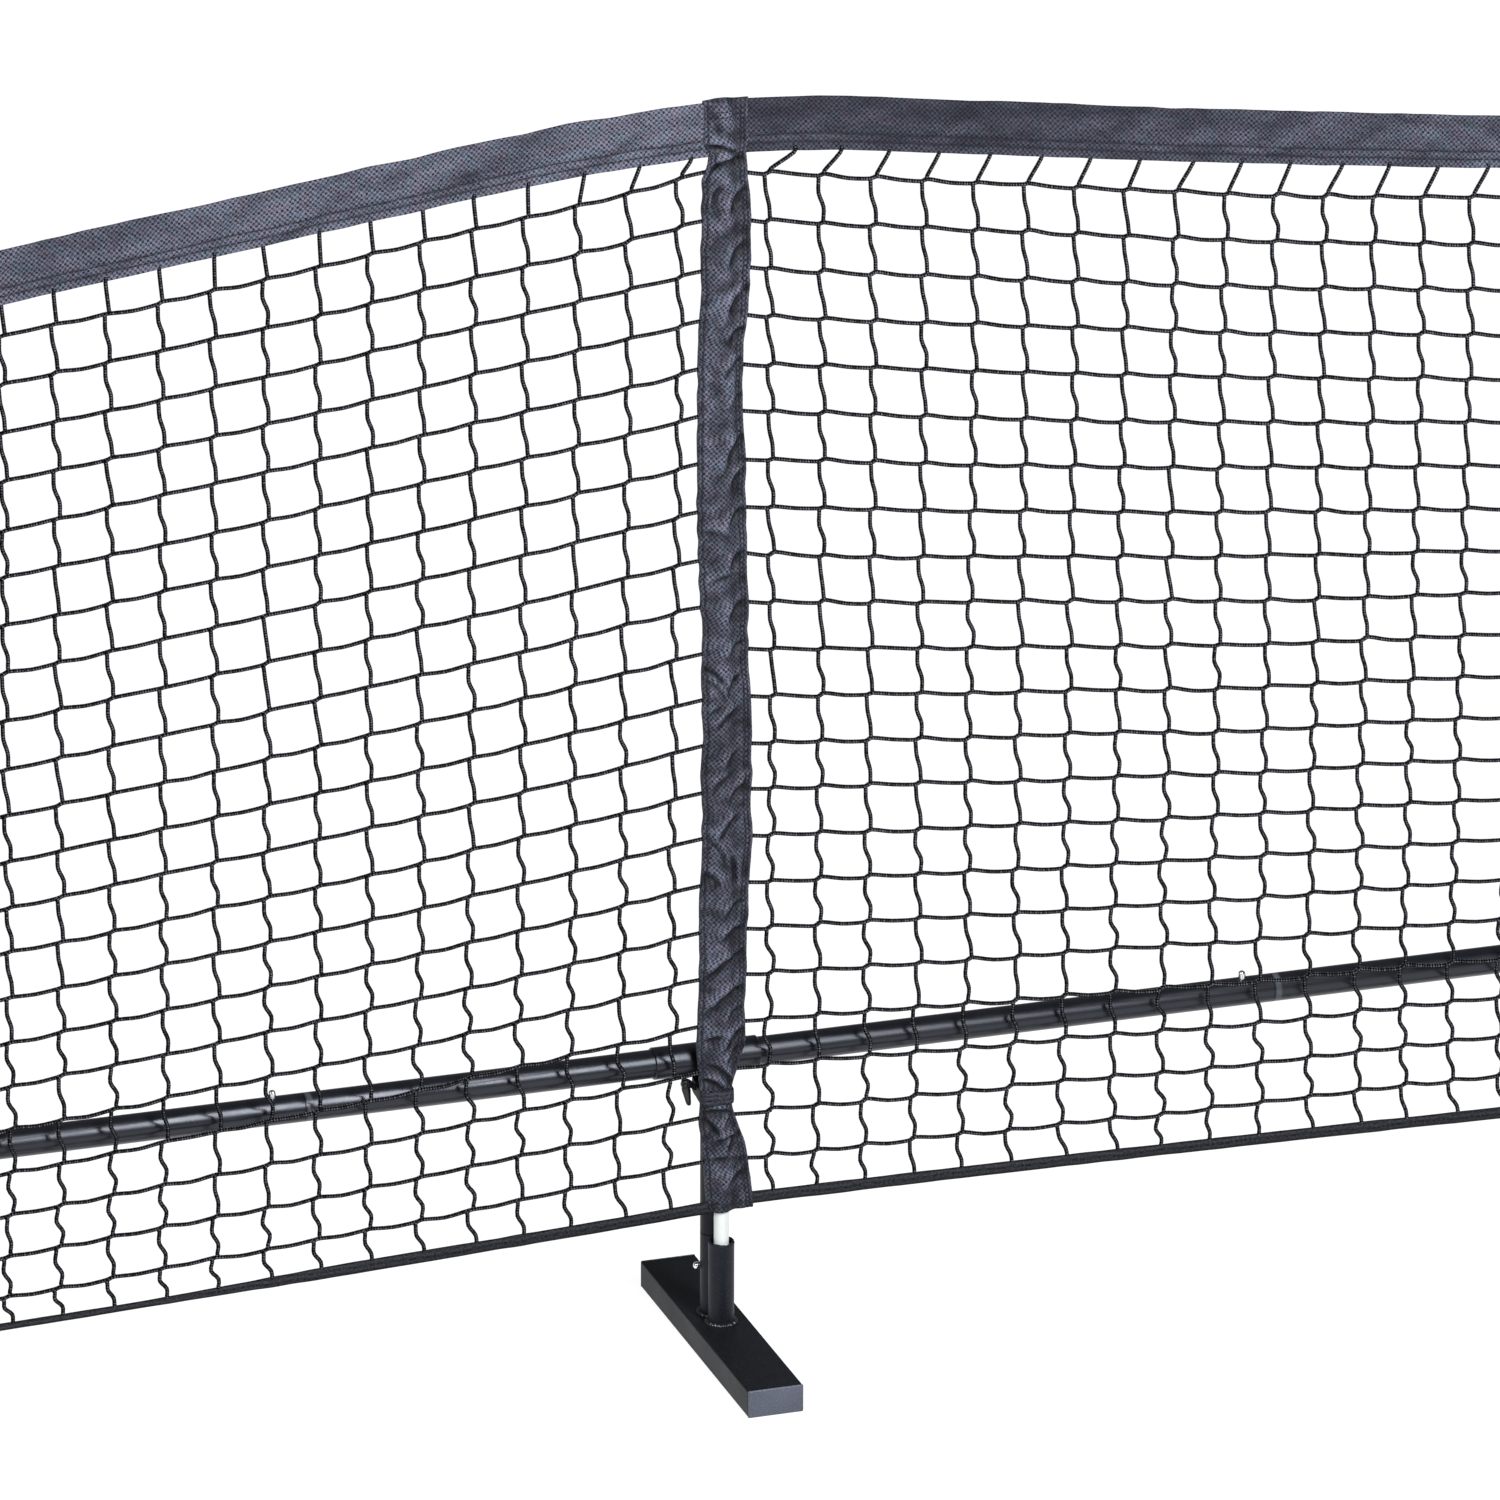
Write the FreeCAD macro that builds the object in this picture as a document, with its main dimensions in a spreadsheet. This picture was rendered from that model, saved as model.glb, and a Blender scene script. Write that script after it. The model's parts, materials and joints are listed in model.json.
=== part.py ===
# Portable net on a knock-down steel frame.
# Three welded feet carry push-fit tubes with snap buttons, a row of crossbar tubes,
# two end posts and a thin centre rod. A square-mesh net with a top band and a hem tape
# hangs from sleeves on the posts and on the rod.
# Frame: X along the net, Y away from the viewer, Z up. The origin is on the ground,
# under the centre rod. All sizes are in millimetres.

import FreeCAD
import Part
import Sketcher
import math
import os

# Driving dimensions

SIZES = [
    # net
    ("half_span", 3353.0, "centre rod to end post, half of a 22 foot net"),
    ("net_centre_height", 864.0, "top of the band at the centre, 34 inches"),
    ("net_end_height", 914.0, "top of the band at the end posts, 36 inches"),
    ("hem_centre_height", 101.5, "underside of the hem tape at the centre"),
    ("hem_end_height", 152.0, "underside of the hem tape at the end posts"),
    ("top_droop", 0.145, "fall of the band per mm on leaving the centre"),
    ("hem_droop", 0.022, "fall of the hem per mm on leaving the centre"),
    ("droop_power", 2.6, "how fast the droop fades towards the hem"),
    ("band_height", 35.2, "folded top band"),
    ("band_thickness", 3.0, "folded top band, front to back"),
    ("hem_height", 8.0, "hem tape"),
    ("hem_thickness", 2.0, "hem tape, front to back"),
    ("cord_width", 2.6, "net cord"),
    ("gap_columns", 37, "gaps along each half of the net"),
    ("gap_rows", 8, "gaps up the net"),
    ("sewn_gap", 0.3, "between pieces of cloth that are sewn together"),
    # feet
    ("foot_width", 38.0, "rectangular foot tube"),
    ("foot_height", 19.0, "rectangular foot tube"),
    ("foot_wall", 1.5, "rectangular foot tube"),
    ("foot_corner", 1.5, "outer corner radius of the foot tube"),
    ("plate_thickness", 2.0, "plates that close the foot tubes"),
    ("centre_foot_length", 228.0, "over the end plates"),
    ("end_foot_length", 600.0, "over the end plates"),
    ("socket_od", 17.2, "welded sockets"),
    ("socket_wall", 1.7, "welded sockets"),
    ("socket_height", 58.0, "welded sockets, above the foot"),
    ("socket_gap", 0.1, "between the two sockets of the centre foot"),
    ("weld_leg", 2.4, "weld round the foot of each socket"),
    # tubes
    ("bar_od", 19.0, "crossbar tube"),
    ("bar_wall", 1.5, "crossbar tube"),
    ("bar_height", 201.5, "crossbar axis above the ground"),
    ("first_seam", -281.0, "left seam of the centre crossbar tube"),
    ("swage_length", 45.0, "plug end of each crossbar tube"),
    ("swage_wall", 1.2, "plug ends"),
    ("push_fit", 0.1, "radial clearance of a plug end in its tube or socket"),
    ("shoulder_chamfer", 0.6, "outer edge of each tube shoulder"),
    ("tee_od", 21.5, "sleeve of the tee round the crossbar"),
    ("tee_length", 72.5, "sleeve of the tee"),
    ("tee_offset", -6.2, "middle of the tee's sleeve from the post's axis"),
    ("post_wall", 1.5, "posts"),
    ("post_plug_length", 40.0, "plug end of each post"),
    ("bend_radius", 38.0, "bend of the end bars, on the tube's axis"),
    ("post_seam_height", 480.0, "where the upper end post leaves the lower one"),
    ("cap_lip", 3.0, "thickness of the cap's head"),
    ("cap_stem", 12.0, "length of the cap inside the post"),
    ("rod_diameter", 10.0, "centre rod"),
    # snap buttons
    ("button_diameter", 5.0, "snap button"),
    ("button_proud", 5.0, "how far a button stands out of its tube"),
    ("button_dome", 2.2, "round of the button's end"),
    ("button_fit", 0.05, "radial clearance of a button in its holes"),
    ("button_setback", 20.0, "crossbar seam to button"),
    ("post_button_drop", 23.0, "socket mouth to post button"),
    ("flange_diameter", 7.0, "shoulder that keeps a button in its tube"),
    ("flange_thickness", 1.0, "shoulder of a button"),
    ("flange_gap", 0.3, "shoulder to the bore of the plug end"),
    ("clip_width", 6.0, "spring clip strip"),
    ("clip_thickness", 0.8, "spring clip strip"),
    ("clip_length", 32.0, "spring clip, button to bend"),
    ("clip_tail", 4.0, "spring clip past the button"),
    ("clip_gap", 0.1, "spring clip to button shoulder"),
    # sleeves
    ("cloth", 0.8, "sleeve cloth"),
    ("sleeve_ease", 0.3, "sleeve cloth to what it holds"),
    ("sleeve_corner", 4.4, "round of a sleeve's long edges"),
    ("sleeve_overhang", 2.0, "centre sleeve below the hem tape"),
    ("sleeve_foot_left", 9.4, "centre sleeve at its hem, left of the rod"),
    ("sleeve_foot_right", 21.8, "centre sleeve at its hem, right of the rod"),
    ("sleeve_knee_height", 150.0, "where the flare under the tie begins"),
    ("sleeve_knee_left", 12.6, "centre sleeve there, left of the rod"),
    ("sleeve_knee_right", 16.0, "centre sleeve there, right of the rod"),
    ("sleeve_waist_left", 13.4, "centre sleeve in its tie, left of the rod"),
    ("sleeve_waist_right", 7.1, "centre sleeve in its tie, right of the rod"),
    ("sleeve_hip_height", 217.0, "where the sleeve is full again above the tie"),
    ("sleeve_hip_left", 15.9, "centre sleeve there, left of the rod"),
    ("sleeve_hip_right", 16.5, "centre sleeve there, right of the rod"),
    ("sleeve_chest_height", 525.0, "middle of the sleeve"),
    ("sleeve_chest_left", 12.9, "centre sleeve there, left of the rod"),
    ("sleeve_chest_right", 17.6, "centre sleeve there, right of the rod"),
    ("sleeve_top_half", 13.9, "half the centre sleeve's width at the band"),
    ("end_sleeve_half", 17.0, "half an end sleeve's width"),
    # ties and hook
    ("tie_height", 181.0, "middle of the centre tie above the ground"),
    ("end_tie_height", 158.0, "middle of the end ties above the ground"),
    ("tie_width", 10.0, "tie strap"),
    ("tie_thickness", 1.0, "tie strap"),
    ("tie_ease", 0.3, "tie strap to what it holds"),
    ("tie_corner", 5.0, "round of the tie's loop"),
    ("hook_pin_diameter", 2.0, "eyelet pin at the end of the strap"),
    ("hook_pin_fit", 0.05, "radial clearance of the hook on its pin"),
    ("hook_eye_radius", 2.7, "outside of the hook's eye"),
    ("hook_width", 4.0, "hook, front to back"),
    ("hook_length", 15.5, "hook, pin to tip"),
    ("hook_tip_radius", 1.7, "hook's tip"),
    ("hook_reach", 22.0, "pin, left of the rod"),
    ("hook_pin_height", 187.6, "pin above the ground"),
    ("hook_setback", 9.5, "middle of the hook behind the net"),
    ("strap_tab_height", 6.0, "free end of the strap that carries the pin"),
]

# Values worked out from the driving dimensions, as formulas for the bound sizes

SHEET = "Sizes"
SOCKET_BORE = "(Sizes.socket_od / 2 - Sizes.socket_wall)"
SOCKET_MOUTH = "(Sizes.foot_height + Sizes.socket_height)"
BAR_Y = "(Sizes.socket_od + Sizes.socket_gap)"
BAR_R = "(Sizes.bar_od / 2)"
BAR_BORE = "(Sizes.bar_od / 2 - Sizes.bar_wall)"
BAR_PLUG = "(Sizes.bar_od / 2 - Sizes.bar_wall - Sizes.push_fit)"
BAR_PLUG_BORE = "(Sizes.bar_od / 2 - Sizes.bar_wall - Sizes.push_fit - Sizes.swage_wall)"
POST_R = "(Sizes.socket_od / 2)"
POST_BORE = "(Sizes.socket_od / 2 - Sizes.post_wall)"
SOCKET_PLUG = "(Sizes.socket_od / 2 - Sizes.socket_wall - Sizes.push_fit)"
SOCKET_PLUG_BORE = "(Sizes.socket_od / 2 - Sizes.socket_wall - Sizes.push_fit - Sizes.swage_wall)"
POST_PLUG = "(Sizes.socket_od / 2 - Sizes.post_wall - Sizes.push_fit)"
POST_PLUG_BORE = "(Sizes.socket_od / 2 - Sizes.post_wall - Sizes.push_fit - Sizes.swage_wall)"
END_POST_Y = (
    "(Sizes.socket_od + Sizes.socket_gap - Sizes.bar_od / 2 - Sizes.socket_od / 2"
    " - 2 * Sizes.sleeve_ease - Sizes.cloth)"
)
BUTTON_HOLE = "(Sizes.button_diameter / 2 + Sizes.button_fit)"
POST_BUTTON_HEIGHT = "(Sizes.foot_height + Sizes.socket_height - Sizes.post_button_drop)"

TUBE_PITCH = "(Sizes.half_span / 5)"

SEAM_COUNT = 10
LEFT_TUBES = 4
HALF_TURN = 180.0
SIDES = (("left", -1), ("right", 1))

doc = FreeCAD.newDocument("net_set")
nodes = []


def make_sheet():
    """Write each driving dimension into the sheet under its own name."""
    sheet = doc.addObject("Spreadsheet::Sheet", SHEET)
    for row, (name, value, note) in enumerate(SIZES, start=1):
        sheet.set(f"A{row}", name)
        sheet.set(f"B{row}", str(value))
        sheet.setAlias(f"B{row}", name)
        sheet.set(f"C{row}", note)
    doc.recompute()
    return sheet


sheet = make_sheet()


def size(name):
    """A driving dimension as a number."""
    return float(sheet.get(name))


# Helpers for bodies and sketches


def make_body(label, place, turned=False):
    """An empty body at a place given by three formulas, turned half round if asked."""
    body = doc.addObject("PartDesign::Body", label)
    body.Label = label
    if turned:
        turn = FreeCAD.Rotation(FreeCAD.Vector(0, 0, 1), HALF_TURN)
        body.Placement = FreeCAD.Placement(FreeCAD.Vector(), turn)
    bind_place(body, place)
    return body


def bind_place(item, place):
    """Tie an object's place to three formulas."""
    for letter, formula in zip("xyz", place):
        item.setExpression(f"Placement.Base.{letter}", formula)


def origin_item(body, role):
    """One plane or axis of a body's own origin."""
    return next(item for item in body.Origin.OriginFeatures if item.Role == role)


def make_sketch(body, name, plane, offset=None):
    """An empty sketch on one of the body's origin planes."""
    sketch = body.newObject("Sketcher::SketchObject", name)
    sketch.AttachmentSupport = [(origin_item(body, plane), "")]
    sketch.MapMode = "FlatFace"
    if offset:
        sketch.setExpression("AttachmentOffset.Base.z", offset)
    return sketch


def bind_constraint(sketch, constraint, formula):
    """Add a constraint whose value follows a formula."""
    number = sketch.addConstraint(constraint)
    sketch.setExpression(f"Constraints[{number}]", formula)


def draw_outline(sketch, corners):
    """A closed outline of straight lines; each corner is a pair of formulas."""
    count = len(corners)
    ring = [
        FreeCAD.Vector(math.cos(2 * math.pi * i / count), math.sin(2 * math.pi * i / count), 0)
        for i in range(count)
    ]
    first = sketch.GeometryCount
    for i in range(count):
        sketch.addGeometry(Part.LineSegment(ring[i], ring[(i + 1) % count]), False)
    for i in range(count):
        follower = first + (i + 1) % count
        sketch.addConstraint(Sketcher.Constraint("Coincident", first + i, 2, follower, 1))
    for i, (across, up) in enumerate(corners):
        here = ring[i]
        line = first + i
        bind_constraint(
            sketch, Sketcher.Constraint("DistanceX", -1, 1, line, 1, here.x), across
        )
        bind_constraint(sketch, Sketcher.Constraint("DistanceY", -1, 1, line, 1, here.y), up)


def draw_circle(sketch, across, up, radius):
    """A circle whose centre and radius are formulas."""
    centre = FreeCAD.Vector(1, 1, 0)
    circle = sketch.addGeometry(Part.Circle(centre, FreeCAD.Vector(0, 0, 1), 1), False)
    bind_constraint(sketch, Sketcher.Constraint("DistanceX", -1, 1, circle, 3, 1.0), across)
    bind_constraint(sketch, Sketcher.Constraint("DistanceY", -1, 1, circle, 3, 1.0), up)
    bind_constraint(sketch, Sketcher.Constraint("Radius", circle, 1.0), radius)


def pad(body, sketch, length, backward=False):
    """Raise a sketch by a length."""
    feature = body.newObject("PartDesign::Pad", sketch.Name + "_pad")
    feature.Profile = sketch
    feature.Reversed = backward
    feature.setExpression("Length", length)
    sketch.Visibility = False
    return feature


def pocket(body, sketch, depth, forward):
    """Cut a sketch to a depth, along the plane's normal if forward, else against it."""
    doc.recompute()
    before = body.Shape.Volume
    feature = body.newObject("PartDesign::Pocket", sketch.Name + "_cut")
    feature.Profile = sketch
    feature.Reversed = forward
    feature.setExpression("Length", depth)
    doc.recompute()
    if not body.Shape.Volume < before:
        raise RuntimeError(f"{feature.Name} cuts nothing")
    return feature


def revolve(body, sketch, axis, angle=360.0):
    """Turn a sketch about one of its axes or about an axis of the body's origin."""
    feature = body.newObject("PartDesign::Revolution", sketch.Name + "_turned")
    feature.Profile = sketch
    feature.ReferenceAxis = axis
    feature.Angle = angle
    return feature


def ring_pad(body, name, plane, centre, radii, length, backward=False, offset=None):
    """A tube wall raised from a plane: outer and inner circle on one centre."""
    sketch = make_sketch(body, name, plane, offset)
    for radius in radii:
        draw_circle(sketch, centre[0], centre[1], radius)
    return pad(body, sketch, length, backward)


def round_edges(body, base, radius, wanted):
    """Round those edges of the body that the test picks."""
    doc.recompute()
    names = [f"Edge{i}" for i, edge in enumerate(body.Shape.Edges, start=1) if wanted(edge)]
    if not names:
        raise RuntimeError(f"no edge to round on {body.Label}")
    fillet = body.newObject("PartDesign::Fillet", body.Name + "_rounded")
    fillet.Base = (base, names)
    fillet.setExpression("Radius", radius)
    return fillet


def keep(item, label=None):
    """Count an object as a sub-part, under its own name."""
    if label:
        item.Label = label
    nodes.append(item)
    return item


def fixed_shape(label, shape):
    """A sub-part whose shape comes from a formula in this file."""
    item = doc.addObject("Part::Feature", label)
    item.Shape = shape
    return keep(item, label)


def primitive(kind, name, bound, place, rotation=None):
    """A plain solid with bound sizes at a bound place."""
    item = doc.addObject(kind, name)
    if rotation:
        item.Placement = FreeCAD.Placement(FreeCAD.Vector(), rotation)
    for prop, formula in bound.items():
        item.setExpression(prop, formula)
    bind_place(item, place)
    return item


def compound(label, items):
    """Several separate solids under one name."""
    group = doc.addObject("Part::Compound", label)
    group.Links = items
    return keep(group, label)


# Feet: rectangular tube, end plates, two sockets and their welds


def foot_places():
    """Name, x, front socket y and length of each foot, as formulas."""
    yield "centre", "0", "0", "Sizes.centre_foot_length"
    for side, sign in SIDES:
        yield side, f"{sign} * Sizes.half_span", END_POST_Y, "Sizes.end_foot_length"


def foot_tube(name, x, length):
    """Hollow rectangular tube that lies across the net's line."""
    inner_length = f"{length} - 2 * Sizes.plate_thickness"
    body = make_body(f"{name}_foot", (x, f"({inner_length}) / 2", "0"))
    sketch = make_sketch(body, f"{name}_foot_section", "XZ_Plane")
    half = "Sizes.foot_width / 2"
    wall = "Sizes.foot_wall"
    draw_outline(
        sketch,
        [
            (f"-{half}", "0"),
            (half, "0"),
            (half, "Sizes.foot_height"),
            (f"-{half}", "Sizes.foot_height"),
        ],
    )
    solid = pad(body, sketch, inner_length)

    def runs_along(edge):
        return abs(edge.BoundBox.YLength - size_of_foot(name)) < 1e-3

    round_edges(body, solid, "Sizes.foot_corner", runs_along)
    bore = make_sketch(body, f"{name}_foot_bore", "XZ_Plane")
    draw_outline(
        bore,
        [
            (f"-{half} + {wall}", wall),
            (f"{half} - {wall}", wall),
            (f"{half} - {wall}", f"Sizes.foot_height - {wall}"),
            (f"-{half} + {wall}", f"Sizes.foot_height - {wall}"),
        ],
    )
    pocket(body, bore, inner_length, forward=True)
    keep(body)


def size_of_foot(name):
    """Length of a foot's tube between its end plates."""
    length = size("centre_foot_length") if name == "centre" else size("end_foot_length")
    return length - 2 * size("plate_thickness")


def foot_plates():
    """The plates welded over both ends of each foot, all alike."""
    plates = []
    for name, x, _, length in foot_places():
        rear = f"{length} / 2 - Sizes.plate_thickness"
        for end, y in (("front", f"-{length} / 2"), ("rear", rear)):
            plates.append(
                primitive(
                    "Part::Box",
                    f"{name}_{end}_plate",
                    {
                        "Length": "Sizes.foot_width",
                        "Width": "Sizes.plate_thickness",
                        "Height": "Sizes.foot_height",
                    },
                    (f"{x} - Sizes.foot_width / 2", y, "0"),
                )
            )
    compound("foot_end_plates", plates)


def socket(name, x, y, hole_side):
    """Upright tube on a foot; hole_side is where the button comes out, or 0 for none."""
    body = make_body(name, (x, y, "Sizes.foot_height"))
    radii = (POST_R, SOCKET_BORE)
    ring_pad(body, f"{name}_wall", "XY_Plane", ("0", "0"), radii, "Sizes.socket_height")
    if hole_side:
        hole = make_sketch(body, f"{name}_hole", "YZ_Plane")
        draw_circle(hole, "0", "Sizes.socket_height - Sizes.post_button_drop", BUTTON_HOLE)
        pocket(body, hole, "Sizes.socket_od", forward=hole_side > 0)
    return body


def foot_sockets():
    """A front and a rear socket on each foot."""
    keep(socket("centre_rod_socket", "0", "0", 0))
    keep(socket("centre_post_socket", "0", BAR_Y, -1))
    for side, sign in SIDES:
        x = f"{sign} * Sizes.half_span"
        front = socket(f"{side}_front_socket", x, END_POST_Y, sign)
        rear = socket(f"{side}_rear_socket", x, BAR_Y, sign)
        compound(f"{side}_foot_sockets", [front, rear])


def foot_welds():
    """A sloping bead round both sockets of each foot, all alike."""
    beads = []
    bead_size = {
        "Radius1": f"{POST_R} + Sizes.weld_leg",
        "Radius2": POST_R,
        "Height": "Sizes.weld_leg",
    }
    tube_size = {"Radius": POST_R, "Height": "2 * Sizes.weld_leg"}
    for name, x, front_y, _ in foot_places():
        cones = []
        tubes = []
        for end, y in (("front", front_y), ("rear", BAR_Y)):
            place = (x, y, "Sizes.foot_height")
            cones.append(primitive("Part::Cone", f"{name}_{end}_bead", bead_size, place))
            tubes.append(primitive("Part::Cylinder", f"{name}_{end}_core", tube_size, place))
        bead = doc.addObject("Part::Cut", f"{name}_bead")
        bead.Base = fuse(f"{name}_beads", cones)
        bead.Tool = fuse(f"{name}_cores", tubes)
        beads.append(bead)
    compound("foot_welds", beads)


def fuse(name, items):
    """Several solids joined into one."""
    joined = doc.addObject("Part::MultiFuse", name)
    joined.Shapes = items
    return joined


# Centre: tee post, tee sleeve and rod


def plug_profile(shoulder, end, radii, plug_length):
    """Half section of a round tube with a plug end, as (along, radius) formulas."""
    outer, bore, plug, plug_bore = radii
    wall = "Sizes.swage_wall"
    chamfer = "Sizes.shoulder_chamfer"
    return [
        (f"{shoulder} - {plug_length}", plug_bore),
        (f"{shoulder} - {plug_length}", plug),
        (shoulder, plug),
        (shoulder, f"{outer} - {chamfer}"),
        (f"{shoulder} + {chamfer}", outer),
        (end, outer),
        (end, bore),
        (f"{shoulder} + {wall}", bore),
        (f"{shoulder} + {wall}", plug_bore),
    ]


def upright_tube(name, place, profile, turned=False):
    """A tube turned about its upright axis from (height, radius) formulas."""
    body = make_body(name, place, turned)
    sketch = make_sketch(body, f"{name}_section", "XZ_Plane")
    draw_outline(sketch, [(radius, height) for height, radius in profile])
    revolve(body, sketch, (sketch, ["V_Axis"]))
    return body


def post_button_hole(body, forward):
    """Hole for the snap button in a post's plug end, at a height above the ground."""
    hole = make_sketch(body, f"{body.Name}_hole", "YZ_Plane")
    draw_circle(hole, "0", POST_BUTTON_HEIGHT, BUTTON_HOLE)
    pocket(body, hole, "Sizes.socket_od", forward)


SOCKET_POST = (POST_R, POST_BORE, SOCKET_PLUG, SOCKET_PLUG_BORE)


def tee_post():
    """Post in the centre foot's rear socket, cut to meet the tee's sleeve."""
    profile = plug_profile(SOCKET_MOUTH, "Sizes.bar_height", SOCKET_POST, "Sizes.post_plug_length")
    tube = upright_tube("tee_post_tube", ("0", BAR_Y, "0"), profile)
    post_button_hole(tube, forward=False)
    cutter = primitive(
        "Part::Cylinder",
        "tee_post_cope",
        {"Radius": "Sizes.tee_od / 2", "Height": "Sizes.tee_length"},
        ("Sizes.tee_offset - Sizes.tee_length / 2", BAR_Y, "Sizes.bar_height"),
        FreeCAD.Rotation(FreeCAD.Vector(0, 1, 0), 90),
    )
    post = doc.addObject("Part::Cut", "tee_post")
    post.Base = tube
    post.Tool = cutter
    keep(post, "tee_post")


def tee_sleeve():
    """Short sleeve that holds the centre crossbar tube."""
    place = ("Sizes.tee_offset - Sizes.tee_length / 2", BAR_Y, "Sizes.bar_height")
    body = make_body("tee_sleeve", place)
    sketch = make_sketch(body, "tee_sleeve_section", "XZ_Plane")
    outer = "Sizes.tee_od / 2"
    bore = f"{BAR_R} + Sizes.push_fit"
    chamfer = "Sizes.shoulder_chamfer"
    draw_outline(
        sketch,
        [
            ("0", bore),
            ("0", f"{outer} - {chamfer}"),
            (chamfer, outer),
            (f"Sizes.tee_length - {chamfer}", outer),
            ("Sizes.tee_length", f"{outer} - {chamfer}"),
            ("Sizes.tee_length", bore),
        ],
    )
    revolve(body, sketch, (sketch, ["H_Axis"]))
    keep(body)


def centre_rod():
    """Thin rod that stands on the foot inside the front socket and lifts the band."""
    rod = primitive(
        "Part::Cylinder",
        "centre_rod",
        {
            "Radius": "Sizes.rod_diameter / 2",
            "Height": "Sizes.net_centre_height - Sizes.cloth - Sizes.sleeve_ease - Sizes.foot_height",
        },
        ("0", "0", "Sizes.foot_height"),
    )
    keep(rod, "centre_rod")


# Crossbar: a row of like tubes between two bent end bars


def tube_name(number):
    """Name of a crossbar tube, counted from the left."""
    if number < LEFT_TUBES:
        return f"crossbar_left_{LEFT_TUBES - number}"
    if number == LEFT_TUBES:
        return "crossbar_centre"
    return f"crossbar_right_{number - LEFT_TUBES}"


def seam_x(number):
    """Formula for the place of a crossbar seam, counted from the left."""
    return f"(Sizes.first_seam + {number - LEFT_TUBES} * {TUBE_PITCH})"


def crossbar_tube(number):
    """Tube with a plug end on the left, and an open end with a button hole on the right."""
    name = tube_name(number)
    body = make_body(name, (seam_x(number), BAR_Y, "Sizes.bar_height"))
    sketch = make_sketch(body, f"{name}_section", "XZ_Plane")
    radii = (BAR_R, BAR_BORE, BAR_PLUG, BAR_PLUG_BORE)
    draw_outline(sketch, plug_profile("0", TUBE_PITCH, radii, "Sizes.swage_length"))
    revolve(body, sketch, (sketch, ["H_Axis"]))
    holes = make_sketch(body, f"{name}_holes", "XY_Plane")
    draw_circle(holes, "-Sizes.button_setback", "0", BUTTON_HOLE)
    draw_circle(holes, f"{TUBE_PITCH} - Sizes.button_setback", "0", BUTTON_HOLE)
    pocket(body, holes, "Sizes.bar_od", forward=True)
    keep(body)


def end_bar(side, sign):
    """Bar that bends down at the end of the crossbar into the end foot's rear socket.

    Its frame has its origin at the centre of the bend, with +X outward.
    """
    name = f"{side}_end_bar"
    place = (
        f"{sign} * (Sizes.half_span - Sizes.bend_radius)",
        BAR_Y,
        "Sizes.bar_height - Sizes.bend_radius",
    )
    body = make_body(name, place, turned=sign < 0)
    walls = (BAR_R, BAR_BORE)
    bend = "Sizes.bend_radius"
    seam = seam_x(0 if sign < 0 else SEAM_COUNT - 1)
    run = f"Sizes.half_span - {bend} - ({sign}) * {seam}"
    ring_pad(body, f"{name}_run", "YZ_Plane", ("0", bend), walls, run, backward=True)
    corner = make_sketch(body, f"{name}_bend", "YZ_Plane")
    for radius in walls:
        draw_circle(corner, "0", bend, radius)
    revolve(body, corner, (origin_item(body, "Y_Axis"), [""]), 90.0)
    leg = f"Sizes.bar_height - {bend} - {SOCKET_MOUTH}"
    ring_pad(body, f"{name}_leg", "XY_Plane", (bend, "0"), walls, leg, backward=True)
    end_bar_plug(body, name, leg)
    if sign < 0:
        end_bar_hole(body, name, f"{run} - Sizes.button_setback")
    else:
        end_bar_spigot(body, name, run)
        end_bar_hole(body, name, f"{run} + Sizes.button_setback")
    hole = make_sketch(body, f"{name}_leg_hole", "YZ_Plane", bend)
    drop = f"{leg} + Sizes.post_button_drop"
    draw_circle(hole, "0", f"-({drop})", BUTTON_HOLE)
    pocket(body, hole, "Sizes.bar_od", forward=True)
    keep(body)


def end_bar_plug(body, name, leg):
    """Shoulder and plug end at the foot of the bar's leg."""
    centre = ("Sizes.bend_radius", "0")
    shoulder = (BAR_R, SOCKET_PLUG_BORE)
    plug = (SOCKET_PLUG, SOCKET_PLUG_BORE)
    low = f"-({leg})"
    ring_pad(body, f"{name}_shoulder", "XY_Plane", centre, shoulder, "Sizes.swage_wall", offset=low)
    ring_pad(
        body,
        f"{name}_plug",
        "XY_Plane",
        centre,
        plug,
        "Sizes.post_plug_length",
        backward=True,
        offset=low,
    )


def end_bar_spigot(body, name, run):
    """Shoulder and plug end that push into the last crossbar tube."""
    centre = ("0", "Sizes.bend_radius")
    left = f"-({run})"
    shoulder = (BAR_R, BAR_PLUG_BORE)
    plug = (BAR_PLUG, BAR_PLUG_BORE)
    ring_pad(body, f"{name}_collar", "YZ_Plane", centre, shoulder, "Sizes.swage_wall", offset=left)
    ring_pad(
        body,
        f"{name}_spigot",
        "YZ_Plane",
        centre,
        plug,
        "Sizes.swage_length",
        backward=True,
        offset=left,
    )


def end_bar_hole(body, name, distance):
    """Button hole in the top of the run, at a distance inward from the bend."""
    hole = make_sketch(body, f"{name}_run_hole", "XY_Plane", "Sizes.bend_radius")
    draw_circle(hole, f"-({distance})", "0", BUTTON_HOLE)
    pocket(body, hole, "Sizes.bar_od", forward=True)


# End posts


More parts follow.
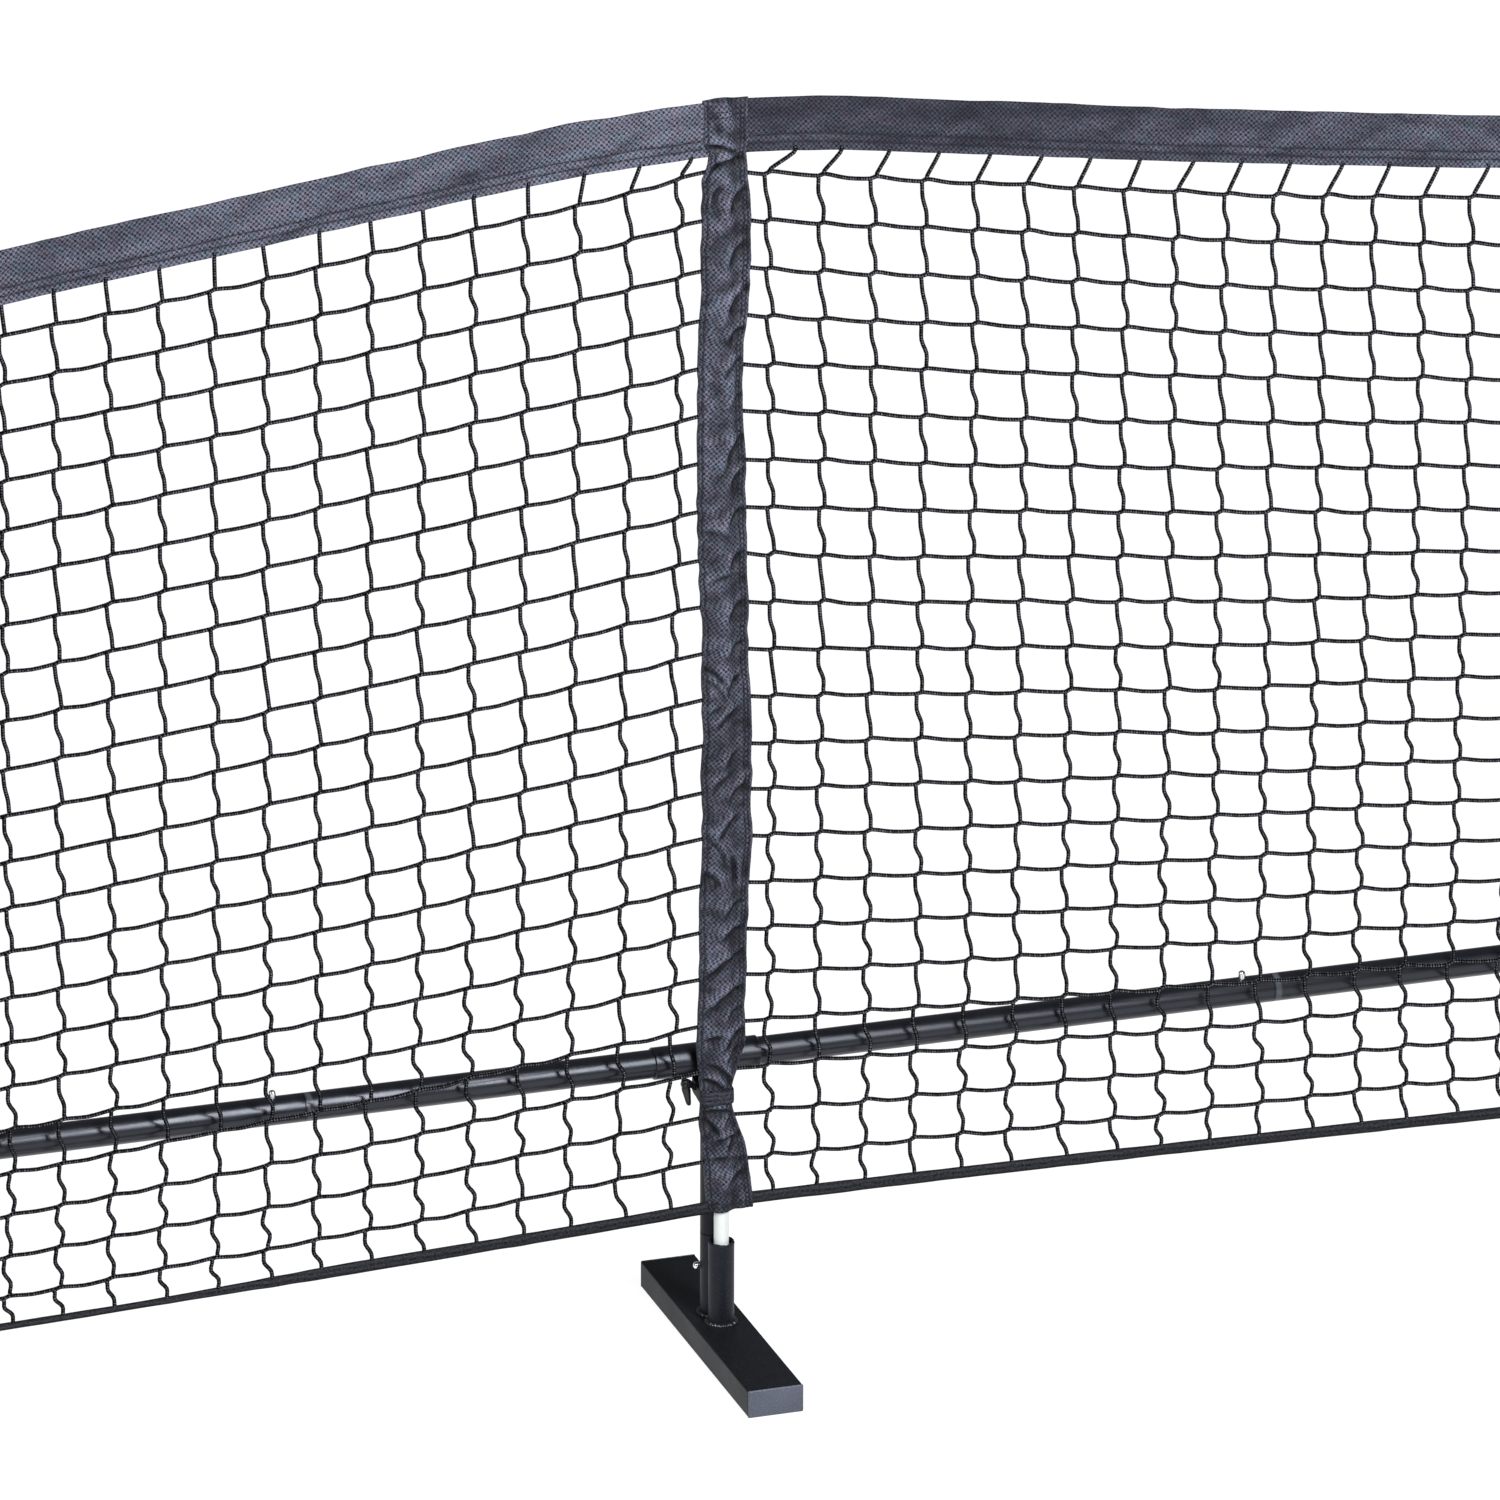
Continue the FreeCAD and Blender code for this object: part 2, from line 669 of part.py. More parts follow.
def end_posts(side, sign):
    """A lower post, an upper post pushed into it, and the cap on top."""
    place = (f"{sign} * Sizes.half_span", END_POST_Y, "0")
    seam = "Sizes.post_seam_height"
    top = "(Sizes.net_end_height - Sizes.cloth - Sizes.sleeve_ease - Sizes.cap_lip)"
    lower_profile = plug_profile(SOCKET_MOUTH, seam, SOCKET_POST, "Sizes.post_plug_length")
    lower = upright_tube(f"{side}_lower_post", place, lower_profile, turned=sign < 0)
    post_button_hole(lower, forward=True)
    keep(lower)
    upper_radii = (POST_R, POST_BORE, POST_PLUG, POST_PLUG_BORE)
    upper_profile = plug_profile(seam, top, upper_radii, "Sizes.swage_length")
    keep(upright_tube(f"{side}_upper_post", place, upper_profile, turned=sign < 0))
    return post_cap(side, place, top)


def post_cap(side, place, top):
    """Plastic cap with a stem that plugs the post's open end."""
    cap = make_body(f"{side}_cap", place)
    sketch = make_sketch(cap, f"{side}_cap_section", "XZ_Plane")
    chamfer = "Sizes.shoulder_chamfer"
    stem = f"{POST_BORE} - Sizes.push_fit"
    draw_outline(
        sketch,
        [
            ("0", f"{top} - Sizes.cap_stem"),
            (stem, f"{top} - Sizes.cap_stem"),
            (stem, top),
            (POST_R, top),
            (POST_R, f"{top} + Sizes.cap_lip - {chamfer}"),
            (f"{POST_R} - {chamfer}", f"{top} + Sizes.cap_lip"),
            ("0", f"{top} + Sizes.cap_lip"),
        ],
    )
    revolve(cap, sketch, (sketch, ["V_Axis"]))
    return cap


# Snap buttons and the spring clips behind them


def snap_button(name, place, tube_radius, plug_bore, rotation=None):
    """Button that points along its own +Z, with a shoulder inside the plug end."""
    body = make_body(name, place)
    if rotation:
        body.Placement = FreeCAD.Placement(FreeCAD.Vector(), rotation)
        bind_place(body, place)
    stem = "Sizes.button_diameter / 2"
    flange = "Sizes.flange_diameter / 2"
    seat = flange_seat(plug_bore)
    tip = f"{tube_radius} + Sizes.button_proud"
    sketch = make_sketch(body, f"{name}_section", "XZ_Plane")
    draw_outline(
        sketch,
        [
            ("0", f"{seat} - Sizes.flange_thickness"),
            (flange, f"{seat} - Sizes.flange_thickness"),
            (flange, seat),
            (stem, seat),
            (stem, tip),
            ("0", tip),
        ],
    )
    turned = revolve(body, sketch, (sketch, ["V_Axis"]))
    doc.recompute()
    along = FreeCAD.Vector(0, 0, 1)
    if rotation:
        along = rotation.multVec(along)
    reach = max(vertex.Point.dot(along) for vertex in body.Shape.Vertexes)

    def at_tip(edge):
        heights = [vertex.Point.dot(along) for vertex in edge.Vertexes]
        round_edge = edge.Curve.TypeId == "Part::GeomCircle"
        return round_edge and all(abs(height - reach) < 1e-4 for height in heights)

    round_edges(body, turned, "Sizes.button_dome", at_tip)
    keep(body)


def flange_seat(plug_bore):
    """Formula for how far the flat shoulder can rise in a round bore."""
    return f"(sqrt({plug_bore} * {plug_bore} - Sizes.flange_diameter ^ 2 / 4) - Sizes.flange_gap)"


def button_turn(sign):
    """Turn that points a button to the left or to the right."""
    return FreeCAD.Rotation(FreeCAD.Vector(0, 1, 0), 90 * sign)


def buttons():
    """One button at each crossbar seam, and one at each plug end in a foot's socket."""
    for number in range(SEAM_COUNT):
        place = (f"{seam_x(number)} - Sizes.button_setback", BAR_Y, "Sizes.bar_height")
        snap_button(f"crossbar_button_{number + 1}", place, BAR_R, BAR_PLUG_BORE)
    for name, x, y, sign in post_buttons():
        place = (x, y, POST_BUTTON_HEIGHT)
        snap_button(name, place, POST_R, SOCKET_PLUG_BORE, button_turn(sign))


def post_buttons():
    """Name, x, y and direction of each button in a foot's socket."""
    yield "tee_post_button", "0", BAR_Y, -1
    for side, sign in SIDES:
        x = f"{sign} * Sizes.half_span"
        yield f"{side}_post_button", x, END_POST_Y, sign
        yield f"{side}_bar_button", x, BAR_Y, sign


def clip_outline(sketch, plug_bore):
    """A bent strip: one leaf under the button, one along the far wall of the bore."""
    thick = "Sizes.clip_thickness"
    upper = f"({flange_seat(plug_bore)} - Sizes.flange_thickness - Sizes.clip_gap)"
    lower = f"(Sizes.flange_gap - sqrt({plug_bore} * {plug_bore} - Sizes.clip_width ^ 2 / 4))"
    middle = f"(({upper} + {lower}) / 2)"
    draw_outline(
        sketch,
        [
            ("-Sizes.clip_tail", upper),
            ("Sizes.clip_tail", upper),
            ("Sizes.clip_length", f"{middle} + {thick}"),
            ("Sizes.clip_length", f"{middle} - {thick}"),
            ("Sizes.clip_tail", lower),
            ("-Sizes.clip_tail", lower),
            ("-Sizes.clip_tail", f"{lower} + {thick}"),
            ("Sizes.clip_tail", f"{lower} + {thick}"),
            (f"Sizes.clip_length - 2 * {thick}", middle),
            ("Sizes.clip_tail", f"{upper} - {thick}"),
            ("-Sizes.clip_tail", f"{upper} - {thick}"),
        ],
    )


def clip(name, place, plug_bore, rotation=None):
    """One spring clip behind a button that points along its own +Z."""
    body = make_body(name, place)
    if rotation:
        body.Placement = FreeCAD.Placement(FreeCAD.Vector(), rotation)
        bind_place(body, place)
    sketch = make_sketch(body, f"{name}_shape", "XZ_Plane", "-Sizes.clip_width / 2")
    clip_outline(sketch, plug_bore)
    return body, pad(body, sketch, "Sizes.clip_width")


def clips():
    """The crossbar's clips as one row of like pieces, and the clips of the posts."""
    place = (f"{seam_x(0)} - Sizes.button_setback", BAR_Y, "Sizes.bar_height")
    row, strip = clip("crossbar_clips", place, BAR_PLUG_BORE)
    pattern = row.newObject("PartDesign::LinearPattern", "crossbar_clips_row")
    pattern.Originals = [strip]
    pattern.Direction = (origin_item(row, "X_Axis"), [""])
    pattern.Occurrences = SEAM_COUNT
    pattern.setExpression("Length", f"{SEAM_COUNT - 1} * {TUBE_PITCH}")
    row.Tip = pattern
    keep(row)
    singles = []
    for name, x, y, sign in post_buttons():
        place = (x, y, POST_BUTTON_HEIGHT)
        single, _ = clip(f"{name}_clip", place, SOCKET_PLUG_BORE, upright_turn(sign))
        singles.append(single)
    compound("post_clips", singles)


def upright_turn(sign):
    """Turn that points a clip's button sideways and its bend downward."""
    sideways = FreeCAD.Vector(sign, 0, 0)
    down = FreeCAD.Vector(0, 0, -1)
    return FreeCAD.Rotation(down, sideways.cross(down), sideways, "XYZ")


# Cloth: sleeves, band, hem and net


def sleeve_outline():
    """Height, left edge and right edge of the centre sleeve, from its hem to its top."""
    hem = size("hem_centre_height") - size("sleeve_overhang")
    waist_low = size("tie_height") - size("tie_width") / 2
    waist_high = size("tie_height") + size("tie_width") / 2
    return [
        (hem, size("sleeve_foot_left"), size("sleeve_foot_right")),
        (size("sleeve_knee_height"), size("sleeve_knee_left"), size("sleeve_knee_right")),
        (waist_low, size("sleeve_waist_left"), size("sleeve_waist_right")),
        (waist_high, size("sleeve_waist_left"), size("sleeve_waist_right")),
        (size("sleeve_hip_height"), size("sleeve_hip_left"), size("sleeve_hip_right")),
        (size("sleeve_chest_height"), size("sleeve_chest_left"), size("sleeve_chest_right")),
        (size("net_centre_height"), size("sleeve_top_half"), size("sleeve_top_half")),
    ]


def rounded_section(height, bounds, corner, inset=0.0):
    """A level rectangle with round corners, drawn in by an inset; bounds are x0, x1, y0, y1."""
    x0 = bounds[0] + inset
    x1 = bounds[1] - inset
    y0 = bounds[2] + inset
    y1 = bounds[3] - inset
    r = max(corner - inset, 0.5 * corner)
    spots = [(x0 + r, y0), (x1 - r, y0), (x1, y0 + r), (x1, y1 - r)]
    spots += [(x1 - r, y1), (x0 + r, y1), (x0, y1 - r), (x0, y0 + r)]
    points = [FreeCAD.Vector(x, y, height) for x, y in spots]
    slant = r * math.sqrt(0.5)
    centres = [(x1 - r, y0 + r, 1, -1), (x1 - r, y1 - r, 1, 1)]
    centres += [(x0 + r, y1 - r, -1, 1), (x0 + r, y0 + r, -1, -1)]
    middles = [FreeCAD.Vector(x + a * slant, y + b * slant, height) for x, y, a, b in centres]
    edges = []
    for i in range(4):
        start = points[2 * i]
        turn = points[2 * i + 1]
        finish = points[(2 * i + 2) % 8]
        edges.append(Part.LineSegment(start, turn).toShape())
        edges.append(Part.Arc(turn, middles[i], finish).toShape())
    return Part.Wire(edges)


def sleeve_shape(outline, half_depth):
    """A cloth tube, open below and closed on top, through the sections of an outline."""
    corner = size("sleeve_corner")
    cloth = size("cloth")
    top, top_left, top_right = outline[-1]
    inside = outline[:-1] + [(top - cloth, top_left, top_right)]
    bodies = []
    for sections, inset in ((outline, 0.0), (inside, cloth)):
        wires = [
            rounded_section(z, (-left, right, -half_depth, half_depth), corner, inset)
            for z, left, right in sections
        ]
        bodies.append(Part.makeLoft(wires, True, True))
    return bodies[0].cut(bodies[1])


def centre_sleeve():
    """Sleeve on the centre rod, drawn in by its tie."""
    half_depth = size("rod_diameter") / 2 + size("sleeve_ease") + size("cloth")
    fixed_shape("centre_sleeve", sleeve_shape(sleeve_outline(), half_depth))


def end_sleeve(side, sign):
    """Plain sleeve on an end post."""
    half_depth = size("socket_od") / 2 + size("sleeve_ease") + size("cloth")
    half = size("end_sleeve_half")
    outline = [(size("hem_end_height"), half, half), (size("net_end_height"), half, half)]
    sleeve = fixed_shape(f"{side}_end_sleeve", sleeve_shape(outline, half_depth))
    bind_place(sleeve, (f"{sign} * Sizes.half_span", END_POST_Y, "0"))


def hang(x, centre, end, droop):
    """Height of a hanging edge at x, from its heights at the centre and at the post."""
    span = size("half_span")
    rise = (end - centre + droop * span) / span**2
    return centre - droop * abs(x) + rise * x * x


def top_edge(x):
    """Top of the band at x."""
    return hang(x, size("net_centre_height"), size("net_end_height"), size("top_droop"))


def hem_edge(x):
    """Underside of the hem tape at x."""
    return hang(x, size("hem_centre_height"), size("hem_end_height"), size("hem_droop"))


def net_height(x, share):
    """Height of a net row at x; share runs from 0 at the hem tape to 1 at the band."""
    low = size("hem_centre_height") + size("hem_height")
    high = size("net_centre_height") - size("band_height")
    low_end = size("hem_end_height") + size("hem_height")
    high_end = size("net_end_height") - size("band_height")
    fade = 1 - (1 - share) ** size("droop_power")
    droop = size("hem_droop") + (size("top_droop") - size("hem_droop")) * fade
    return hang(x, low + (high - low) * share, low_end + (high_end - low_end) * share, droop)


def columns():
    """Distances of the net's columns from the centre, out to the end sleeve."""
    count = int(size("gap_columns"))
    far = size("half_span") - size("end_sleeve_half") - size("sewn_gap")
    return [far * i / count for i in range(count + 1)]


def strip(sign, low, high, thickness):
    """A flat strip between two hanging edges, cut to the centre sleeve."""
    below = [FreeCAD.Vector(sign * x, -thickness / 2, low(x)) for x in columns()]
    above = [FreeCAD.Vector(sign * x, -thickness / 2, high(x)) for x in reversed(columns())]
    face = Part.Face(Part.makePolygon(below + above + [below[0]]))
    return face.extrude(FreeCAD.Vector(0, thickness, 0)).cut(sleeve_clearance(thickness))


def sleeve_clearance(thickness):
    """Block that keeps band, hem and net clear of the centre sleeve and of the ties."""
    gap = size("sewn_gap")
    outline = sleeve_outline()
    left = [(-a - gap, z) for z, a, _ in outline]
    right = [(b + gap, z) for z, _, b in outline]
    bottom = outline[0][0] - 2 * gap
    top = outline[-1][0] + 2 * gap
    loop = [(left[0][0], bottom)] + left + [(left[-1][0], top), (right[-1][0], top)]
    loop += right[::-1] + [(right[0][0], bottom)]
    points = [FreeCAD.Vector(x, -thickness, z) for x, z in loop]
    face = Part.Face(Part.makePolygon(points + [points[0]]))
    block = face.extrude(FreeCAD.Vector(0, 2 * thickness, 0))
    x0, x1, _, _ = tie_bounds()
    half_loop = end_tie_half()
    span = size("half_span")
    ties = [tie_clearance(x0, x1, size("tie_height"), thickness)]
    for middle in (-span, span):
        low = middle - half_loop
        ties.append(tie_clearance(low, middle + half_loop, size("end_tie_height"), thickness))
    return block.fuse(ties)


def tie_clearance(x0, x1, height, thickness):
    """Box round the loop of a tie, as deep as the cloth that it is cut from."""
    gap = size("sewn_gap")
    skin = size("tie_thickness") + gap
    low = height - size("tie_width") / 2 - gap
    corner = FreeCAD.Vector(x0 - skin, -thickness, low)
    return Part.makeBox(x1 - x0 + 2 * skin, 2 * thickness, size("tie_width") + 2 * gap, corner)


def band_and_hem(side, sign):
    """Folded band along the top and flat tape along the bottom of one half of the net."""

    def band_low(x):
        return top_edge(x) - size("band_height")

    def hem_high(x):
        return hem_edge(x) + size("hem_height")

    fixed_shape(f"top_band_{side}", strip(sign, band_low, top_edge, size("band_thickness")))
    fixed_shape(f"hem_tape_{side}", strip(sign, hem_edge, hem_high, size("hem_thickness")))


def net_gap(sign, i, j):
    """One gap of the net, between two columns and two rows, as a wire."""
    half = size("cord_width") / 2
    rows = int(size("gap_rows"))
    across = columns()
    x0 = across[i] + half
    x1 = across[i + 1] - half
    low = j / rows
    high = (j + 1) / rows
    corners = [
        (x0, net_height(x0, low) + half),
        (x1, net_height(x1, low) + half),
        (x1, net_height(x1, high) - half),
        (x0, net_height(x0, high) - half),
    ]
    points = [FreeCAD.Vector(sign * x, -half, z) for x, z in corners]
    return Part.makePolygon(points + [points[0]])


def net_panel(side, sign):
    """One half of the net as a single holed sheet."""
    thickness = size("cord_width")
    rows = int(size("gap_rows"))
    across = columns()
    below = [FreeCAD.Vector(sign * x, -thickness / 2, net_height(x, 0)) for x in across]
    above = [FreeCAD.Vector(sign * x, -thickness / 2, net_height(x, 1)) for x in reversed(across)]
    border = Part.makePolygon(below + above + [below[0]])
    gaps = [net_gap(sign, i, j) for i in range(len(across) - 1) for j in range(rows)]
    sheet_face = Part.makeFace([border] + gaps, "Part::FaceMakerBullseye")
    solid = sheet_face.extrude(FreeCAD.Vector(0, thickness, 0))
    fixed_shape(f"net_{side}", solid.cut(sleeve_clearance(thickness)))


# Ties and hook


def tie_bounds():
    """Inside of the centre tie's loop: x from, x to, y from, y to."""
    ease = size("tie_ease")
    post_r = size("socket_od") / 2
    front = size("rod_diameter") / 2 + size("sleeve_ease") + size("cloth")
    bar_y = size("socket_od") + size("socket_gap")
    x0 = -max(size("sleeve_waist_left"), post_r) - ease
    x1 = max(size("sleeve_waist_right"), post_r) + ease
    return x0, x1, -front - ease, bar_y + post_r + ease


def tie_loop(bounds, height):
    """A flat strap round a sleeve and the upright behind it."""
    x0, x1, y0, y1 = bounds
    thick = size("tie_thickness")
    corner = size("tie_corner")
    low = height - size("tie_width") / 2
    outside = (x0 - thick, x1 + thick, y0 - thick, y1 + thick)
    outer = rounded_section(low, outside, corner)
    inner = rounded_section(low, outside, corner, thick)
    ring = Part.makeFace([outer, inner], "Part::FaceMakerBullseye")
    return ring.extrude(FreeCAD.Vector(0, 0, size("tie_width")))


def centre_tie():
    """Tie round the centre sleeve and the tee post, with a tab and pin for the hook."""
    bounds = tie_bounds()
    loop = tie_loop(bounds, size("tie_height"))
    thick = size("tie_thickness")
    pin_r = size("hook_pin_diameter") / 2
    rear = size("hook_setback") + size("hook_width") / 2 + size("tie_ease")
    tab_low = size("hook_pin_height") - size("strap_tab_height") / 2
    tab_end = -size("hook_reach") - size("hook_eye_radius")
    tab = Part.makeBox(
        bounds[0] - tab_end,
        thick,
        size("strap_tab_height"),
        FreeCAD.Vector(tab_end, rear, tab_low),
    )
    pin = Part.makeCylinder(
        pin_r,
        size("hook_width") + 2 * size("tie_ease"),
        FreeCAD.Vector(-size("hook_reach"), rear + thick / 2, size("hook_pin_height")),
        FreeCAD.Vector(0, -1, 0),
    )
    inside = tie_hollow(bounds)
    fixed_shape("centre_tie", loop.fuse([tab.cut(inside), pin]).removeSplitter())


def tie_hollow(bounds):
    """Space inside a tie's loop."""
    x0, x1, y0, y1 = bounds
    low = size("tie_height") - size("tie_width")
    corner = FreeCAD.Vector(x0, y0, low)
    return Part.makeBox(x1 - x0, y1 - y0, 2 * size("tie_width"), corner)


def end_tie_half():
    """Half the inside width of an end tie's loop."""
    return max(size("end_sleeve_half"), size("bar_od") / 2) + size("tie_ease")


def end_ties(side, sign):
    """Tie round an end sleeve and the leg of the end bar."""
    ease = size("tie_ease")
    half = end_tie_half()
    depth = size("socket_od") / 2 + size("sleeve_ease") + size("cloth") + ease
    bar_y = size("socket_od") + size("socket_gap")
    bar_front = bar_y - size("bar_od") / 2
    post_y = bar_front - size("socket_od") / 2 - 2 * size("sleeve_ease") - size("cloth")
    bounds = (-half, half, post_y - depth, bar_y + size("bar_od") / 2 + ease)
    loop = tie_loop(bounds, size("end_tie_height"))
    tie = fixed_shape(f"{side}_end_tie", loop)
    bind_place(tie, (f"{sign} * Sizes.half_span", "0", "0"))


def tie_hook():
    """Tapered plastic hook that hangs from the centre tie's pin."""
    body = make_body(
        "tie_hook",
        ("-Sizes.hook_reach", "Sizes.hook_setback", "Sizes.hook_pin_height"),
    )
    eye = make_sketch(body, "tie_hook_eye", "XZ_Plane", "-Sizes.hook_width / 2")
    draw_circle(eye, "0", "0", "Sizes.hook_eye_radius")
    pad(body, eye, "Sizes.hook_width")
    shank = make_sketch(body, "tie_hook_shank", "XZ_Plane")
    draw_outline(
        shank,
        [
            ("0", "0"),
            ("0", "-Sizes.hook_length"),
            ("Sizes.hook_tip_radius", "-Sizes.hook_length"),
            ("Sizes.hook_width / 2", "0"),
        ],
    )
    revolve(body, shank, (shank, ["V_Axis"]))
    bore = make_sketch(body, "tie_hook_bore", "XZ_Plane", "-Sizes.hook_width")
    draw_circle(bore, "0", "0", "Sizes.hook_pin_diameter / 2 + Sizes.hook_pin_fit")
    pocket(body, bore, "2 * Sizes.hook_width", forward=True)
    keep(body)


# Assembly


def build():
    """Make every sub-part."""
    for name, x, _, length in foot_places():
        foot_tube(name, x, length)
    foot_plates()
    foot_sockets()
    foot_welds()
    tee_post()
    tee_sleeve()
    centre_rod()
    for number in range(SEAM_COUNT - 1):
        crossbar_tube(number)
    caps = []
    for side, sign in SIDES:
        end_bar(side, sign)
        caps.append(end_posts(side, sign))
    compound("post_caps", caps)
    buttons()
    clips()
    centre_sleeve()
    for side, sign in SIDES:
        end_sleeve(side, sign)
        band_and_hem(side, sign)
        net_panel(side, sign)
        end_ties(side, sign)
    centre_tie()
    tie_hook()
    doc.recompute()


def check():
    """Stop if anything failed to build."""
    for item in doc.Objects:
        if "Invalid" in item.State or "Error" in item.State:
            raise RuntimeError(f"{item.Name} failed: {item.State}")
    for item in nodes:
        if item.Shape.isNull() or not item.Shape.isValid():
            raise RuntimeError(f"{item.Label} has a bad shape")


def write():
    """One file for each sub-part, under its label."""
    os.makedirs("parts", exist_ok=True)
    for item in nodes:
        item.Shape.exportStep(f"parts/{item.Label}.step")
        box = item.Shape.BoundBox
        print(
            f"{item.Label}: solids {len(item.Shape.Solids)}, volume {item.Shape.Volume:.0f},"
            f" x {box.XMin:.1f}..{box.XMax:.1f}, y {box.YMin:.1f}..{box.YMax:.1f},"
            f" z {box.ZMin:.1f}..{box.ZMax:.1f}"
        )


build()
check()
write()
print(len(nodes), "sub-parts")
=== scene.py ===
import json
import math

import bmesh
import bpy
import numpy as np
from mathutils import Matrix, Vector


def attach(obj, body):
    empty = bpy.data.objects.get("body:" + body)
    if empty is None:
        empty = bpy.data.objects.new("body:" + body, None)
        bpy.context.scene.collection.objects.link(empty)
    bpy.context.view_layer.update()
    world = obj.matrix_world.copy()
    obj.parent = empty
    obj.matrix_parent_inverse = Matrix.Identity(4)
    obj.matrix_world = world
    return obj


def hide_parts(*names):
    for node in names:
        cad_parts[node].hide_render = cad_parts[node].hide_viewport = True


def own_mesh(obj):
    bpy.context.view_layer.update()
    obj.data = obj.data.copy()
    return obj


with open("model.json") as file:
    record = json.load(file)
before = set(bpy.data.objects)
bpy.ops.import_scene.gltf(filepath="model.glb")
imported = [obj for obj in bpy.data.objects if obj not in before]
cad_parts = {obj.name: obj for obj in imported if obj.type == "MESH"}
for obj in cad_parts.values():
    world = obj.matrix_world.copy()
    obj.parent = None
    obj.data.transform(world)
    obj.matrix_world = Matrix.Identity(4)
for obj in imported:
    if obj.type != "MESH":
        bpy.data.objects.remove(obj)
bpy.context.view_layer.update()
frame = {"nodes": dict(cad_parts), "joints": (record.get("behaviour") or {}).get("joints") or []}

# Lengths are in millimetres, in the frame of the CAD model, and MM turns them into metres.
MM = 0.001
scene = bpy.context.scene

SIDES = {"left": -1, "right": 1}
HALF_SPAN = 3353.0
BAR_Y = 17.3
END_POST_Y = -2.2
BAND_INNER = 10.5
END_SLEEVE_HALF = 17.0
CLOTH_END = HALF_SPAN - END_SLEEVE_HALF + 3.0
# Up to here from the centre, bands and tapes have finer steps.
NEAR_END = 640.0
TIE_HEIGHT = 181.0
END_TIE_HEIGHT = 158.0
FRONT = (0.0, -1.0, 0.0)


def add_object(name, data):
    thing = bpy.data.objects.new(name, data)
    scene.collection.objects.link(thing)
    return thing


# Camera, light and floor

def add_camera():
    """The photo's camera: a long lens that looks down from the left."""
    data = bpy.data.cameras.new("photo_camera")
    data.sensor_width = 36.0
    data.lens = 288.0
    data.clip_end = 500.0
    data.dof.use_dof = False
    camera = add_object("photo_camera", data)
    right = Vector((0.94865326, -0.31630654, 0.00267551))
    up = Vector((0.10999004, 0.33778437, 0.93477479))
    forward = Vector((0.29657913, 0.88648288, -0.35523082))
    turn = Matrix((right, up, -forward)).transposed()
    camera.matrix_world = Matrix.Translation((-2.28765, -6.8945, 3.183)) @ turn.to_4x4()
    scene.camera = camera


def add_lamp(kind, name, energy, direction):
    """A lamp; the direction points from the object to it."""
    data = bpy.data.lights.new(name, kind)
    data.energy = energy
    lamp = add_object(name, data)
    lamp.rotation_euler = Vector(direction).to_track_quat("Z", "Y").to_euler()
    return lamp


def add_lamps():
    """A tall softbox in front and a lamp from the upper left."""
    middle = Vector((0.0, 0.0, 0.25))
    distance = 2.3
    toward = Vector((0.15, -0.71, 0.66)).normalized()
    box = add_lamp("AREA", "front_softbox", 60.0, toward)
    box.data.shape = "RECTANGLE"
    box.data.size = 0.46
    box.data.size_y = 1.5
    box.location = middle + toward * distance
    side = add_lamp("SUN", "left_lamp", 1.05, (-0.76, -0.36, 0.54))
    side.data.angle = math.radians(10.0)


class Nodes:
    """Short calls that build one node tree."""

    def __init__(self, owner):
        owner.use_nodes = True
        self.tree = owner.node_tree

    def add(self, kind, inputs=None, **props):
        node = self.tree.nodes.new("ShaderNode" + kind)
        for key, value in props.items():
            setattr(node, key, value)
        for key, value in (inputs or {}).items():
            self.put(node, key, value)
        return node

    def put(self, node, key, value):
        socket = node.inputs[key]
        if isinstance(value, bpy.types.NodeSocket):
            self.tree.links.new(value, socket)
        else:
            socket.default_value = value

    def math(self, operation, a, b=0.0, clamp=False):
        return self.add("Math", {0: a, 1: b}, operation=operation, use_clamp=clamp).outputs[0]

    def times(self, a, b, clamp=False):
        return self.math("MULTIPLY", a, b, clamp)

    def mix(self, factor, a, b):
        return self.add("Mix", {0: factor, 6: a, 7: b}, data_type="RGBA").outputs[2]

    def ramp(self, value, low, high, out_low=0.0, out_high=1.0):
        inputs = {0: value, 1: low, 2: high, 3: out_low, 4: out_high}
        return self.add("MapRange", inputs, clamp=True).outputs[0]

    def noise(self, vector, scale, detail=2.0, rough=0.5):
        inputs = {"Vector": vector, "Scale": scale, "Detail": detail, "Roughness": rough}
        return self.add("TexNoise", inputs).outputs[0]

    def scaled(self, vector, scale):
        return self.add("Mapping", {"Vector": vector, "Scale": scale}).outputs[0]

    def wave(self, value, period):
        return self.math("SINE", self.times(value, 2 * math.pi / period))

    def place(self):
        """Where a point is, in metres."""
        return self.add("TexCoord").outputs["Object"]

    def uv(self):
        """The UVs of a point, whole and one by one."""
        uv = self.add("TexCoord").outputs["UV"]
        return uv, self.add("SeparateXYZ", {0: uv}).outputs


def add_world():
    """A plain, dim studio surround."""
    world = bpy.data.worlds.new("studio")
    scene.world = world
    n = Nodes(world)
    n.tree.nodes.clear()
    background = n.add("Background", {"Color": (0.93, 0.97, 1, 1), "Strength": 0.18})
    n.add("OutputWorld", {"Surface": background.outputs[0]})


